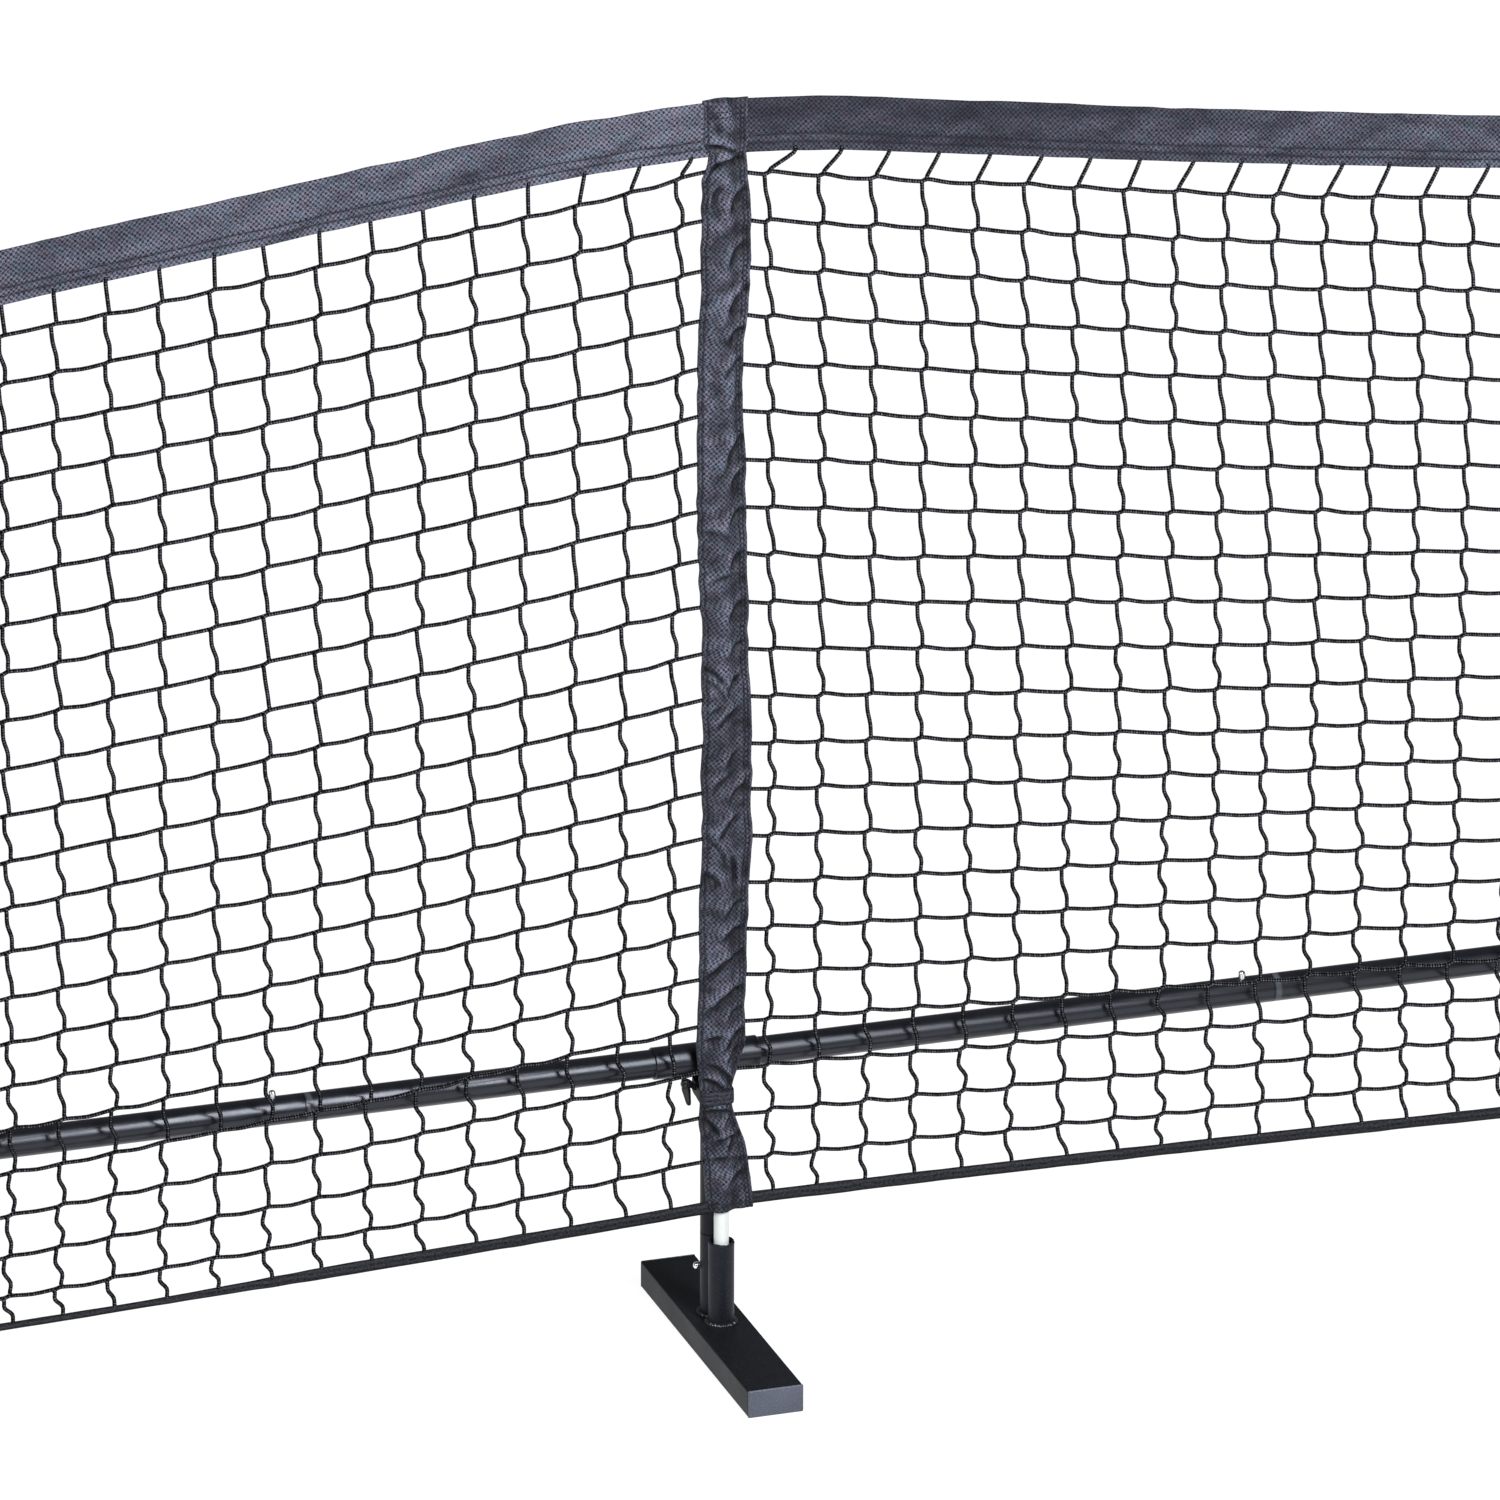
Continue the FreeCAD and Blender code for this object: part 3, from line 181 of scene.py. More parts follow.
def add_floor():
    """A wide floor that shows white and keeps the object's shadow."""
    half = 300000.0
    low = -0.2
    corners = [(-half, -half, low), (half, -half, low), (half, half, low), (-half, half, low)]
    floor = mesh_object("studio_floor", corners, [[0, 1, 2, 3]], smooth=False)
    mat = bpy.data.materials.new("floor_paper")
    n = Nodes(mat)
    n.tree.nodes.clear()
    path = n.add("LightPath").outputs
    seen = n.math("MAXIMUM", path["Is Camera Ray"], path["Is Glossy Ray"])
    thin = n.add("BsdfDiffuse", {"Color": (0.22, 0.22, 0.22, 1)}).outputs[0]
    glow = n.add("Emission", {"Color": (1, 1, 1, 1), "Strength": 0.93}).outputs[0]
    shown = n.add("AddShader", {0: thin, 1: glow}).outputs[0]
    plain = n.add("BsdfDiffuse", {"Color": (0.5, 0.5, 0.5, 1)}).outputs[0]
    both = n.add("MixShader", {0: seen, 1: plain, 2: shown}).outputs[0]
    n.add("OutputMaterial", {"Surface": both})
    floor.data.materials.append(mat)


# Meshes

def mesh_object(name, verts, faces, uvs=None, smooth=True):
    """An object from points in millimetres, faces of one size and a UV for each corner."""
    verts = np.asarray(verts, np.float32).reshape(-1, 3) * MM
    faces = np.asarray(faces, np.int32)
    count, size = faces.shape
    mesh = bpy.data.meshes.new(name)
    mesh.vertices.add(len(verts))
    mesh.vertices.foreach_set("co", verts.ravel())
    mesh.loops.add(count * size)
    mesh.loops.foreach_set("vertex_index", faces.ravel())
    mesh.polygons.add(count)
    mesh.polygons.foreach_set("loop_start", np.arange(count, dtype=np.int32) * size)
    mesh.polygons.foreach_set("use_smooth", np.full(count, smooth))
    if uvs is not None:
        layer = mesh.uv_layers.new(name="UVMap")
        layer.data.foreach_set("uv", np.asarray(uvs, np.float32).ravel())
    mesh.update(calc_edges=True)
    mesh.validate()
    return add_object(name, mesh)


def set_tone(thing, tone):
    """How light the cloth is at each point of a piece, painted light and shade included, for its material.
    """
    layer = thing.data.attributes.new("tone", "FLOAT", "POINT")
    layer.data.foreach_set("value", np.asarray(tone, np.float32).ravel())


def grid_faces(rows, cols, wrap):
    """Faces of a grid of points, closed across its columns if wrap."""
    last = cols if wrap else cols - 1
    i, j = np.meshgrid(np.arange(rows - 1), np.arange(last), indexing="ij")
    k = (j + 1) % cols
    corners = [i * cols + j, i * cols + k, (i + 1) * cols + k, (i + 1) * cols + j]
    return np.stack(corners, -1).reshape(-1, 4)


def grid_uvs(u, v):
    """UVs of a grid's faces, from u and v at each point."""
    square = np.stack(np.broadcast_arrays(u, v), -1)
    corners = [square[:-1, :-1], square[:-1, 1:], square[1:, 1:], square[1:, :-1]]
    return np.stack(corners, 2).reshape(-1, 2)


def flipped(faces, uvs):
    """The same faces, turned inside out."""
    return faces[:, ::-1], uvs.reshape(-1, 4, 2)[:, ::-1].reshape(-1, 2)


def joined(parts):
    """Several (points, faces, uvs) as one."""
    points, faces, uvs = zip(*parts)
    starts = np.cumsum([0] + [len(p) for p in points[:-1]])
    faces = [face + start for face, start in zip(faces, starts)]
    return np.concatenate(points), np.concatenate(faces), np.concatenate(uvs)


def unit(v):
    return v / np.maximum(np.linalg.norm(v, axis=-1, keepdims=True), 1e-9)


def xyz(x, y, z):
    """Points from their coordinates, any of which may be a single number."""
    return np.stack(np.broadcast_arrays(x, y, z), -1)


def turns(count):
    """Even steps of angle round a full turn."""
    return 2 * np.pi * np.arange(count) / count


def running(points):
    """Distance along the second last axis of an array of points."""
    steps = np.linalg.norm(np.diff(points, axis=-2), axis=-1)
    start = np.zeros(steps.shape[:-1] + (1,))
    return np.concatenate([start, np.cumsum(steps, axis=-1)], axis=-1)


def ring_skin(rings):
    """A skin over closed rings of points: points, faces, and UVs in millimetres."""
    rings = np.asarray(rings, float)
    count, cols, _ = rings.shape
    around = running(np.concatenate([rings, rings[:, :1]], 1))
    along = running(rings.transpose(1, 0, 2)).mean(0)[:, None]
    return rings.reshape(-1, 3), grid_faces(count, cols, True), grid_uvs(along, around)


def turned_skin(rings):
    """The same skin, turned inside out."""
    points, faces, uvs = ring_skin(rings)
    return (points, *flipped(faces, uvs))


def tubes(paths, radius, sides):
    """Round tubes along paths of equal length; UVs are the length and the share of a turn."""
    paths = np.asarray(paths, float)
    count, steps, _ = paths.shape
    along = unit(np.gradient(paths, axis=1))
    side = unit(np.cross(along, (0.0, 1.0, 0.0)))
    front = np.cross(side, along)
    angle = turns(sides)
    spread = np.cos(angle)[:, None] * side[:, :, None] + np.sin(angle)[:, None] * front[:, :, None]
    ring = paths[:, :, None] + radius * spread
    one = grid_faces(steps, sides, True)
    faces = (one[None] + (np.arange(count) * steps * sides)[:, None, None]).reshape(-1, 4)
    turn = np.arange(sides + 1)[None, :] / sides
    uvs = np.concatenate([grid_uvs(length[:, None], turn) for length in running(paths)])
    return (ring.reshape(-1, 3), *flipped(faces, uvs))


def smooth_path(points, steps):
    """Smooth curves through points of shape (paths, points, 3)."""
    before = 2 * points[:, :1] - points[:, 1:2]
    after = 2 * points[:, -1:] - points[:, -2:-1]
    p = np.concatenate([before, points, after], 1)
    a, b, c, d = (p[:, k : p.shape[1] - 3 + k, None, :] for k in range(4))
    t = (np.arange(steps) / steps)[:, None]
    curve = 2 * b + (c - a) * t + (2 * a - 5 * b + 4 * c - d) * t**2 + (3 * b - a - 3 * c + d) * t**3
    curve = 0.5 * curve.reshape(len(points), -1, 3)
    return np.concatenate([curve, points[:, -1:]], 1)


LATTICE = {}


def noise(x, y, size, seed):
    """Smooth seeded noise of two coordinates, from -1 to 1."""
    if seed not in LATTICE:
        LATTICE[seed] = np.random.default_rng(seed).uniform(-1, 1, (128, 128))
    grid = LATTICE[seed]
    x = np.asarray(x, float) / size + 40.0
    y = np.asarray(y, float) / size + 40.0
    i = np.floor(x).astype(int)
    j = np.floor(y).astype(int)
    u = ease(x - i, 0, 1)
    v = ease(y - j, 0, 1)

    def at(right, up):
        return grid[(i + right) % 128, (j + up) % 128]

    low = at(0, 0) * (1 - u) + at(1, 0) * u
    high = at(0, 1) * (1 - u) + at(1, 1) * u
    return low * (1 - v) + high * v


def ripple(x, size, seed):
    return noise(x, 0.0, size, seed)


def ease(x, low, high):
    """0 below low, 1 above high, smooth between."""
    t = np.clip((np.asarray(x, float) - low) / (high - low), 0, 1)
    return t * t * (3 - 2 * t)


def bell(x, width, power=2):
    """1 at 0, and it fades over the width on both sides."""
    return np.exp(-np.abs(x / width) ** power)


def rounded(angle, power):
    """Cosine and sine of a squarish circle."""
    both = np.stack([np.cos(angle), np.sin(angle)])
    return np.sign(both) * np.abs(both) ** power


# Materials

class Look(Nodes):
    """A material with one Principled shader, to which its maker links more."""

    def __init__(self, name, color, roughness=0.5, **sockets):
        self.mat = bpy.data.materials.new(name)
        super().__init__(self.mat)
        self.shader = self.tree.nodes["Principled BSDF"]
        self.shader.inputs["Base Color"].default_value = (*color, 1)
        self.shader.inputs["Roughness"].default_value = roughness
        for key, value in sockets.items():
            self.shader.inputs[key.replace("_", " ")].default_value = value

    def color(self, value):
        self.put(self.shader, "Base Color", value)

    def rough(self, value):
        self.put(self.shader, "Roughness", value)

    def bump(self, height, strength, distance):
        inputs = {"Strength": strength, "Distance": distance, "Height": height}
        self.put(self.shader, "Normal", self.add("Bump", inputs).outputs[0])


def shade(color, factor=1.0, lift=0.0):
    return (*(min(1.0, c * factor + lift) for c in color), 1)


# The colour of a worn ring by each seam, part worn steel and part painted highlight for a glint, and where
# the crossbar's seams lie along it, in metres.
BARE_EDGE_AND_GLINT = (0.07, 0.08, 0.095)
FIRST_SEAM = -0.281
SEAM_PITCH = 0.67059
# How far apart the yarns of the cloth lie.
YARN = 3.4


def coat_material(name, color, roughness, speck, peel, specular, bare_and_glint=None):
    """Powder coat: orange peel, dust specks and, when asked, a lighter ring right of each seam, part worn
    coat and part painted highlight for a glint.
    """
    tint = (0.82, 0.87, 1, 1)
    n = Look(name, color, roughness, Specular_IOR_Level=specular, Specular_Tint=tint)
    place = n.place()
    fine = n.noise(place, 1500, 2, 0.6)
    broad = n.noise(place, 28, 3, 0.55)
    tone = n.mix(n.ramp(broad, 0.48, 0.80, 0, 0.5), shade(color), shade(color, 1.5, 0.004))
    tone = n.mix(n.ramp(fine, 0.56, 0.74, 0, speck), tone, shade(color, 2.8, 0.02))
    if bare_and_glint:
        # A lighter ring right of each seam: part worn coat, part painted highlight for a glint.
        along = n.add("SeparateXYZ", {0: place}).outputs[0]
        pitches = n.math("DIVIDE", n.math("SUBTRACT", along, FIRST_SEAM), SEAM_PITCH)
        past = n.times(n.math("FRACT", pitches), SEAM_PITCH)
        worn_and_glint = n.times(n.ramp(past, 0.001, 0.002), n.ramp(past, 0.0045, 0.006, 1, 0))
        tone = n.mix(worn_and_glint, tone, shade(bare_and_glint))
    n.color(tone)
    uneven = n.ramp(broad, 0.3, 0.7, roughness - 0.03, roughness + 0.05)
    n.rough(n.math("ADD", uneven, n.ramp(fine, 0.4, 0.8, 0, 0.05)))
    n.bump(n.noise(place, 1000, 1), peel, 0.0002)
    return n.mat


def cloth_material(name, dark, light, roughness, specular, slub):
    """Woven cloth: crossing yarns, slubs and the piece's tone, which carries painted light and shade."""
    n = Look(name, light, roughness, Specular_IOR_Level=specular)
    uv, split = n.uv()
    wobble = n.ramp(n.noise(uv, 0.3, 2), 0.2, 0.8, -0.25, 0.25)
    warp = n.wave(n.math("ADD", split[0], wobble), YARN)
    weft = n.wave(n.math("ADD", split[1], wobble), YARN)
    weave = n.ramp(n.times(warp, weft), -0.12, 0.12)
    grain = n.ramp(n.noise(uv, 0.5, 2, 0.7), 0.40, 0.60)
    broad = n.ramp(n.noise(uv, 0.06, 3, 0.6), 0.3, 0.7, 1 - slub, 1 + slub)
    level = n.math("ADD", n.times(weave, 0.62), n.times(grain, 0.38))
    # The piece's tone carries painted shade in folds and crumples and painted light on their ridges.
    tone = n.add("Attribute", attribute_name="tone").outputs["Fac"]
    level = n.times(level, n.times(broad, tone), clamp=True)
    stain = n.ramp(n.noise(uv, 0.11, 1), 0.35, 0.65)
    warm = (light[0] * 1.08, light[1] * 0.95, light[2] * 0.98, 1)
    cool = (light[0] * 0.93, light[1] * 1.03, light[2] * 1.03, 1)
    n.color(n.mix(level, (*dark, 1), n.mix(stain, warm, cool)))
    n.bump(n.times(weave, grain), 0.5, 0.0006)
    return n.mat


def webbing_material(name, dark, light, period, rim):
    """Close webbing, with painted shade: darker where it curves away from the eye."""
    n = Look(name, light, 0.6, Specular_IOR_Level=0.15)
    uv, split = n.uv()
    ribs = n.ramp(n.wave(split[1], period), -0.8, 0.8)
    grain = n.ramp(n.noise(uv, 0.6, 2, 0.7), 0.40, 0.62)
    level = n.math("ADD", n.times(ribs, 0.35), n.times(grain, 0.65), clamp=True)
    # Painted shade towards the edges that turn away from the eye.
    edge = n.add("LayerWeight", {"Blend": 0.35}).outputs["Facing"]
    level = n.times(level, n.ramp(edge, 0.08, 0.55, 1, 1 - rim))
    n.color(n.mix(level, (*dark, 1), (*light, 1)))
    n.bump(level, 0.5, 0.0005)
    return n.mat


def cord_material():
    """Braided cord: strands that wind both ways round it."""
    n = Look("net_cord_braid", (0.02, 0.02, 0.026), 0.6, Specular_IOR_Level=0.05)
    uv, split = n.uv()
    lay = 3.6
    strands = 2
    along = n.times(split[0], 2 * math.pi / lay)
    turn = n.times(split[1], 2 * math.pi * strands)
    ways = [n.math("SINE", n.math(way, along, turn)) for way in ("ADD", "SUBTRACT")]
    strand = n.ramp(n.times(ways[0], ways[1]), 0, 0.4)
    grain = n.ramp(n.noise(uv, 0.8, 2, 0.6), 0.38, 0.62, 0.15, 1)
    level = n.times(strand, grain)
    n.color(n.mix(level, (0.0, 0.0, 0.0, 1), (0.15, 0.155, 0.18, 1)))
    n.bump(strand, 0.8, 0.0005)
    return n.mat


def thread_material():
    """Polyester thread, twisted along its length."""
    n = Look("sewing_thread", (0.02, 0.021, 0.028), 0.5, Specular_IOR_Level=0.35)
    twist = n.ramp(n.noise(n.place(), 1500, 2), 0.35, 0.7)
    n.color(n.mix(twist, (0.003, 0.003, 0.006, 1), (0.02, 0.021, 0.035, 1)))
    n.bump(twist, 0.4, 0.0002)
    return n.mat


def metal_material(name, color, roughness, scratch):
    """Bare or plated metal with fine scratches and smudges."""
    n = Look(name, color, roughness, Metallic=1.0)
    place = n.place()
    lines = n.noise(n.scaled(place, (300, 300, 2600)), 1, 2)
    smudge = n.noise(place, 500, 2)
    base = n.ramp(smudge, 0.3, 0.7, roughness, roughness + 0.12)
    n.rough(n.math("ADD", base, n.ramp(lines, 0.55, 0.8, 0, 0.1)))
    dull = n.ramp(smudge, 0.45, 0.8, 0, 0.5)
    n.color(n.mix(dull, shade(color), shade(color, 0.62)))
    n.bump(lines, scratch, 0.0001)
    return n.mat


def plastic_material(name, color, roughness, grain, coat):
    """Moulded plastic with a faint grain and slightly uneven gloss."""
    n = Look(name, color, roughness, Coat_Weight=coat, Coat_Roughness=0.08)
    place = n.place()
    broad = n.noise(place, 60, 2)
    n.rough(n.ramp(broad, 0.3, 0.7, roughness - 0.04, roughness + 0.08))
    n.color(n.mix(n.ramp(broad, 0.35, 0.75), shade(color), shade(color, 1.12, 0.002)))
    n.bump(n.noise(place, 1100, 2), grain, 0.0001)
    return n.mat


def rod_material():
    """White glass-fibre rod: fine draw lines along it under a clear skin."""
    n = Look("rod_fibre", (0.7, 0.75, 0.73), 0.32, Coat_Weight=0.3, Coat_Roughness=0.15)
    lines = n.noise(n.scaled(n.place(), (900, 900, 6)), 1, 3)
    n.color(n.mix(n.ramp(lines, 0.3, 0.7), (0.78, 0.85, 0.83, 1), (0.88, 0.92, 0.90, 1)))
    n.bump(lines, 0.15, 0.0001)
    return n.mat


MAT = {
    "tube": coat_material("tube_powder_coat", (0.0035, 0.0042, 0.007), 0.31, 0.25, 0.02, 0.62, BARE_EDGE_AND_GLINT),
    "foot": coat_material("foot_powder_coat", (0.007, 0.0076, 0.0096), 0.48, 0.9, 0.35, 0.15),
    "socket": coat_material("socket_powder_coat", (0.006, 0.007, 0.011), 0.46, 1.0, 0.35, 0.25),
    # The plates' coat is painted lighter than the foot's: painted light on the feet's end faces.
    "plate": coat_material("plate_coat_painted_light", (0.084, 0.092, 0.120), 0.42, 1.0, 0.4, 0.4),
    "weld": coat_material("weld_coat", (0.008, 0.0085, 0.010), 0.20, 0.8, 0.6, 0.8),
    "button": metal_material("button_zinc", (0.80, 0.81, 0.83), 0.14, 0.1),
    "spring": metal_material("spring_steel", (0.42, 0.42, 0.43), 0.30, 0.3),
    "rod": rod_material(),
    "band": cloth_material("band_oxford", (0.003, 0.003, 0.008), (0.164, 0.177, 0.233), 0.6, 0.15, 0.12),
    "sleeve": cloth_material("sleeve_oxford", (0.0015, 0.002, 0.004), (0.15, 0.162, 0.222), 0.5, 0.2, 0.2),
    "hem": webbing_material("hem_webbing", (0.0015, 0.0017, 0.0025), (0.036, 0.039, 0.049), YARN, 0.95),
    "tie": webbing_material("tie_webbing", (0.003, 0.0033, 0.006), (0.06, 0.065, 0.088), 2.8, 0.5),
    "cord": cord_material(),
    "thread": thread_material(),
    "hook": plastic_material("hook_plastic", (0.003, 0.003, 0.004), 0.3, 0.05, 0.12),
    "cap": plastic_material("cap_plastic", (0.012, 0.012, 0.013), 0.45, 0.4, 0.0),
}


def finish_piece(thing, mat, slot, *nodes, body="root"):
    """Give a piece its material, let it ride on a body and replace CAD nodes. The slot is not used."""
    thing.data.materials.append(MAT[mat])
    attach(thing, body)
    for node in nodes:
        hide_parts(node)
    return thing


def add_piece(name, skin, mat, slot, *nodes, body="root"):
    """A piece from a skin of points, faces and UVs."""
    return finish_piece(mesh_object(name, *skin), mat, slot, *nodes, body=body)


# How the net's edges and cords run

# The net's rows count from the top, and its columns outwards from the centre.
ROWS = 22
COLUMNS = 97
COLUMN, ROW = np.meshgrid(np.arange(COLUMNS), np.arange(ROWS), indexing="ij")
CELL_HEIGHT = 32.5
CELL_WIDTH = {"left": 34.3, "right": 34.45}
FIRST_COLUMN = {"left": 32.7, "right": 31.7}
CORD_RADIUS = 1.45
BAND_DEPTH = {"left": 36.0, "right": 35.8}
# Foot and height of the net at the centre and at the end posts.
NET_FOOT = 109.5
NET_HEIGHT = 719.3
END_NET_FOOT = 160.0
END_NET_HEIGHT = 718.8
HALFWAY_UP = 450.0

# Height at the centre and at the end post, the fall, and how long the crest is; then the fall at
# the top and foot of the net, how one turns into the other, and the first row.
BAND_TOP = {"left": (862.9, 914.0, 0.1805, 150.0), "right": (863.6, 914.0, 0.170, 80.0)}
HEM_LOW = {"left": (98.3, 152.0, 0.048, 0.0), "right": (101.3, 152.0, 0.046, 400.0)}
ROW_FALL = {"left": (0.153, 0.073, 3.3, 10.8), "right": (0.165, 0.017, 1.5, 11.2)}


def hang(x, centre, end, fall, crest=0.0):
    """An edge that falls from a crest at the centre and rises to the end post."""
    def drop(distance):
        return fall * (np.hypot(distance, crest) - crest)

    x = np.abs(x)
    rise = (end - centre + drop(HALF_SPAN)) / HALF_SPAN**2
    return centre - drop(x) + rise * x * x


def band_top(side, x):
    return hang(x, *BAND_TOP[side])


def hem_low(side, x):
    return hang(x, *HEM_LOW[side])


def row_height(side, row, x):
    """Height of a row of cords at x."""
    fall, hem_fall, power, first = ROW_FALL[side]
    share = np.clip(1 - (first + CELL_HEIGHT * row) / NET_HEIGHT, 0, 1)
    droop = hem_fall + (fall - hem_fall) * (1 - (1 - share) ** power)
    return hang(x, NET_FOOT + NET_HEIGHT * share, END_NET_FOOT + END_NET_HEIGHT * share, droop)


def column_x(side, column, z):
    """Place of a column of cords at a height."""
    up = z - HALFWAY_UP
    out = FIRST_COLUMN[side] + CELL_WIDTH[side] * column
    if side == "left":
        return -out + (0.012 - 0.00008 * column) * up
    near = np.exp(-column / 1.6) * (2.2 - 0.0169 * np.clip(up, 0, None))
    return out + near + (0.006 - 0.0004 * np.minimum(column, 25)) * up


def knot_noise(size, seed):
    return noise(COLUMN, ROW, size, seed)


def joints(side):
    """Where rows and columns meet: an array of shape (columns, rows, 3)."""
    x = column_x(side, COLUMN, 800.0 - CELL_HEIGHT * ROW)
    for _ in range(3):
        z = row_height(side, ROW, x)
        x = column_x(side, COLUMN, z)
    seed = 11 if side == "left" else 23
    loose = 0.6 + 1.6 * ease(ROW, 8, 20)
    x = x + loose * (knot_noise(1.7, seed) + knot_noise(4.3, seed + 1))
    z = z + 0.8 * knot_noise(1.3, seed + 2) + 0.8 * knot_noise(5, seed + 3)
    return xyz(x, 1.2 * knot_noise(3.1, seed + 4), z)


# Sleeves

# Height, and how far the centre sleeve's edges stand left and right of the rod.
SLEEVE_EDGES = [
    (96, 10.2, 22), (101, 10, 21.8), (121, 12.2, 20.2), (150, 14.6, 14.6), (165, 15.6, 10),
    (175, 15, 6.8), (187, 15, 6.8), (197, 15.4, 10.6), (217, 17, 15.4), (250, 16, 16.2),
    (300, 15.2, 17.4), (345, 14.6, 19.8), (400, 14, 20.2), (440, 13.6, 19), (525, 14.6, 17.2),
    (560, 17.4, 15.6), (620, 17.8, 15.6), (670, 17, 12.8), (715, 16.2, 15.6), (740, 15.4, 18.8),
    (800, 15.2, 18.4), (812, 14.8, 16.6), (822, 11.4, 15.6), (829, 10.2, 15.2), (836, 14.6, 16.2),
    (870, 14.2, 15.8),
]


def sleeve_side(sign, z):
    """Distance of the centre sleeve's left or right edge from the rod at a height."""
    z = np.asarray(z, float)
    heights, left, right = zip(*SLEEVE_EDGES)
    held = bell(z - TIE_HEIGHT, 14)
    wave = (0.8 * ripple(z, 24, 41 + sign) + 0.6 * ripple(z, 9, 45 + sign)) * (1 - held)
    return np.interp(z, heights, left if sign < 0 else right) + wave


# Folds of the centre sleeve, left to right: from x, z to x, z, how far each stands out, its width.
CENTRE_FOLDS = [
    (-8, 858, -4, 838, 0.8, 4), (-12, 836, 8, 829, 2.6, 2.6), (-10, 821, 10, 826, 2.4, 2.4),
    (-13, 812, -4, 824, 1.4, 2.2), (2, 788, 13, 806, 2, 3.6), (-9, 796, -5, 808, 1.2, 2.4),
    (1, 752, 12, 768, 1.6, 3.4), (1, 721, 13, 737, 2, 3.4), (2, 704, 13, 712, 1.6, 2.8),
    (-1, 680, 12, 692, 1.8, 3), (2, 656, 11, 668, 1.4, 3), (0, 620, 13, 640, 2, 3.4),
    (4, 604, 12, 616, 1.4, 2.8), (1, 577, 13, 590, 1.8, 3), (-12, 575, 3, 571, 1.2, 3),
    (3, 548, 12, 560, 1.4, 2.8), (-10, 540, 10, 545, 1.4, 2.6), (2, 513, 13, 526, 1.8, 3.2),
    (1, 488, 13, 498, 1.5, 2.8), (-12, 482, 4, 462, 1.4, 2.2), (-12, 474, 2, 456, 1.2, 2),
    (1, 462, 11, 476, 1.9, 3), (-6, 440, 9, 452, 1.8, 3), (-12, 446, -3, 455, 1.3, 2.6),
    (0, 412, 11, 424, 1.4, 2.8), (-9, 396, 4, 408, 1.6, 3), (3, 388, 13, 398, 1.4, 2.6),
    (-5, 362, 9, 378, 2.4, 3.4), (-9, 362, 2, 344, 1.6, 2.2), (2, 356, 9, 330, 1.8, 2.4),
    (-12, 340, -2, 330, 1.4, 2.6), (0, 308, 12, 318, 1.6, 2.6), (-2, 292, 12, 300, 2.4, 3),
    (-9, 269, 10, 281, 2.6, 3.2), (-8, 246, 12, 258, 2.6, 3.4), (2, 236, 12, 244, 1.4, 2.4),
    (0, 214, 13, 228, 2.8, 3.2), (-13, 222, 2, 224, 1.4, 2.2), (1, 203, 8, 214, 2, 2.4),
    (-1, 201, 5, 191, 2.2, 2), (-13, 195, 0, 188, 2.6, 2.4), (-9, 205, 3, 197, 1.6, 2.2),
    (-12, 172, 6, 171, 1.8, 1.8), (-1, 160, 6, 170, 2.2, 2.2), (-11, 166, -2, 152, 2.2, 2.4),
    (-4, 151, 10, 154, 2.4, 2.4), (2, 142, 13, 158, 2.4, 2.8), (-8, 138, 12, 136, 1.2, 2.4),
    (1, 116, 15, 128, 1.6, 3),
]


def fold_field(x, z, folds):
    """How far folds stand out: a ridge above each line, a hollow below it."""
    out = np.zeros(np.broadcast(x, z).shape)
    for x0, z0, x1, z1, height, width in folds:
        length = math.hypot(x1 - x0, z1 - z0)
        dx = (x1 - x0) / length
        dz = (z1 - z0) / length
        share = ((x - x0) * dx + (z - z0) * dz) / length
        off = (z - z0) * dx - (x - x0) * dz - 0.10 * length * np.sin(np.pi * np.clip(share, 0, 1))
        fade = ease(share, -0.3, 0.3) * (1 - ease(share, 0.7, 1.3))
        ridge = bell(off / width - 0.5, 1, 1.5)
        hollow = bell(off / (0.75 * width) + 0.55, 1, 1.6)
        out += height * fade * (ridge - 1.15 * hollow)
    return out


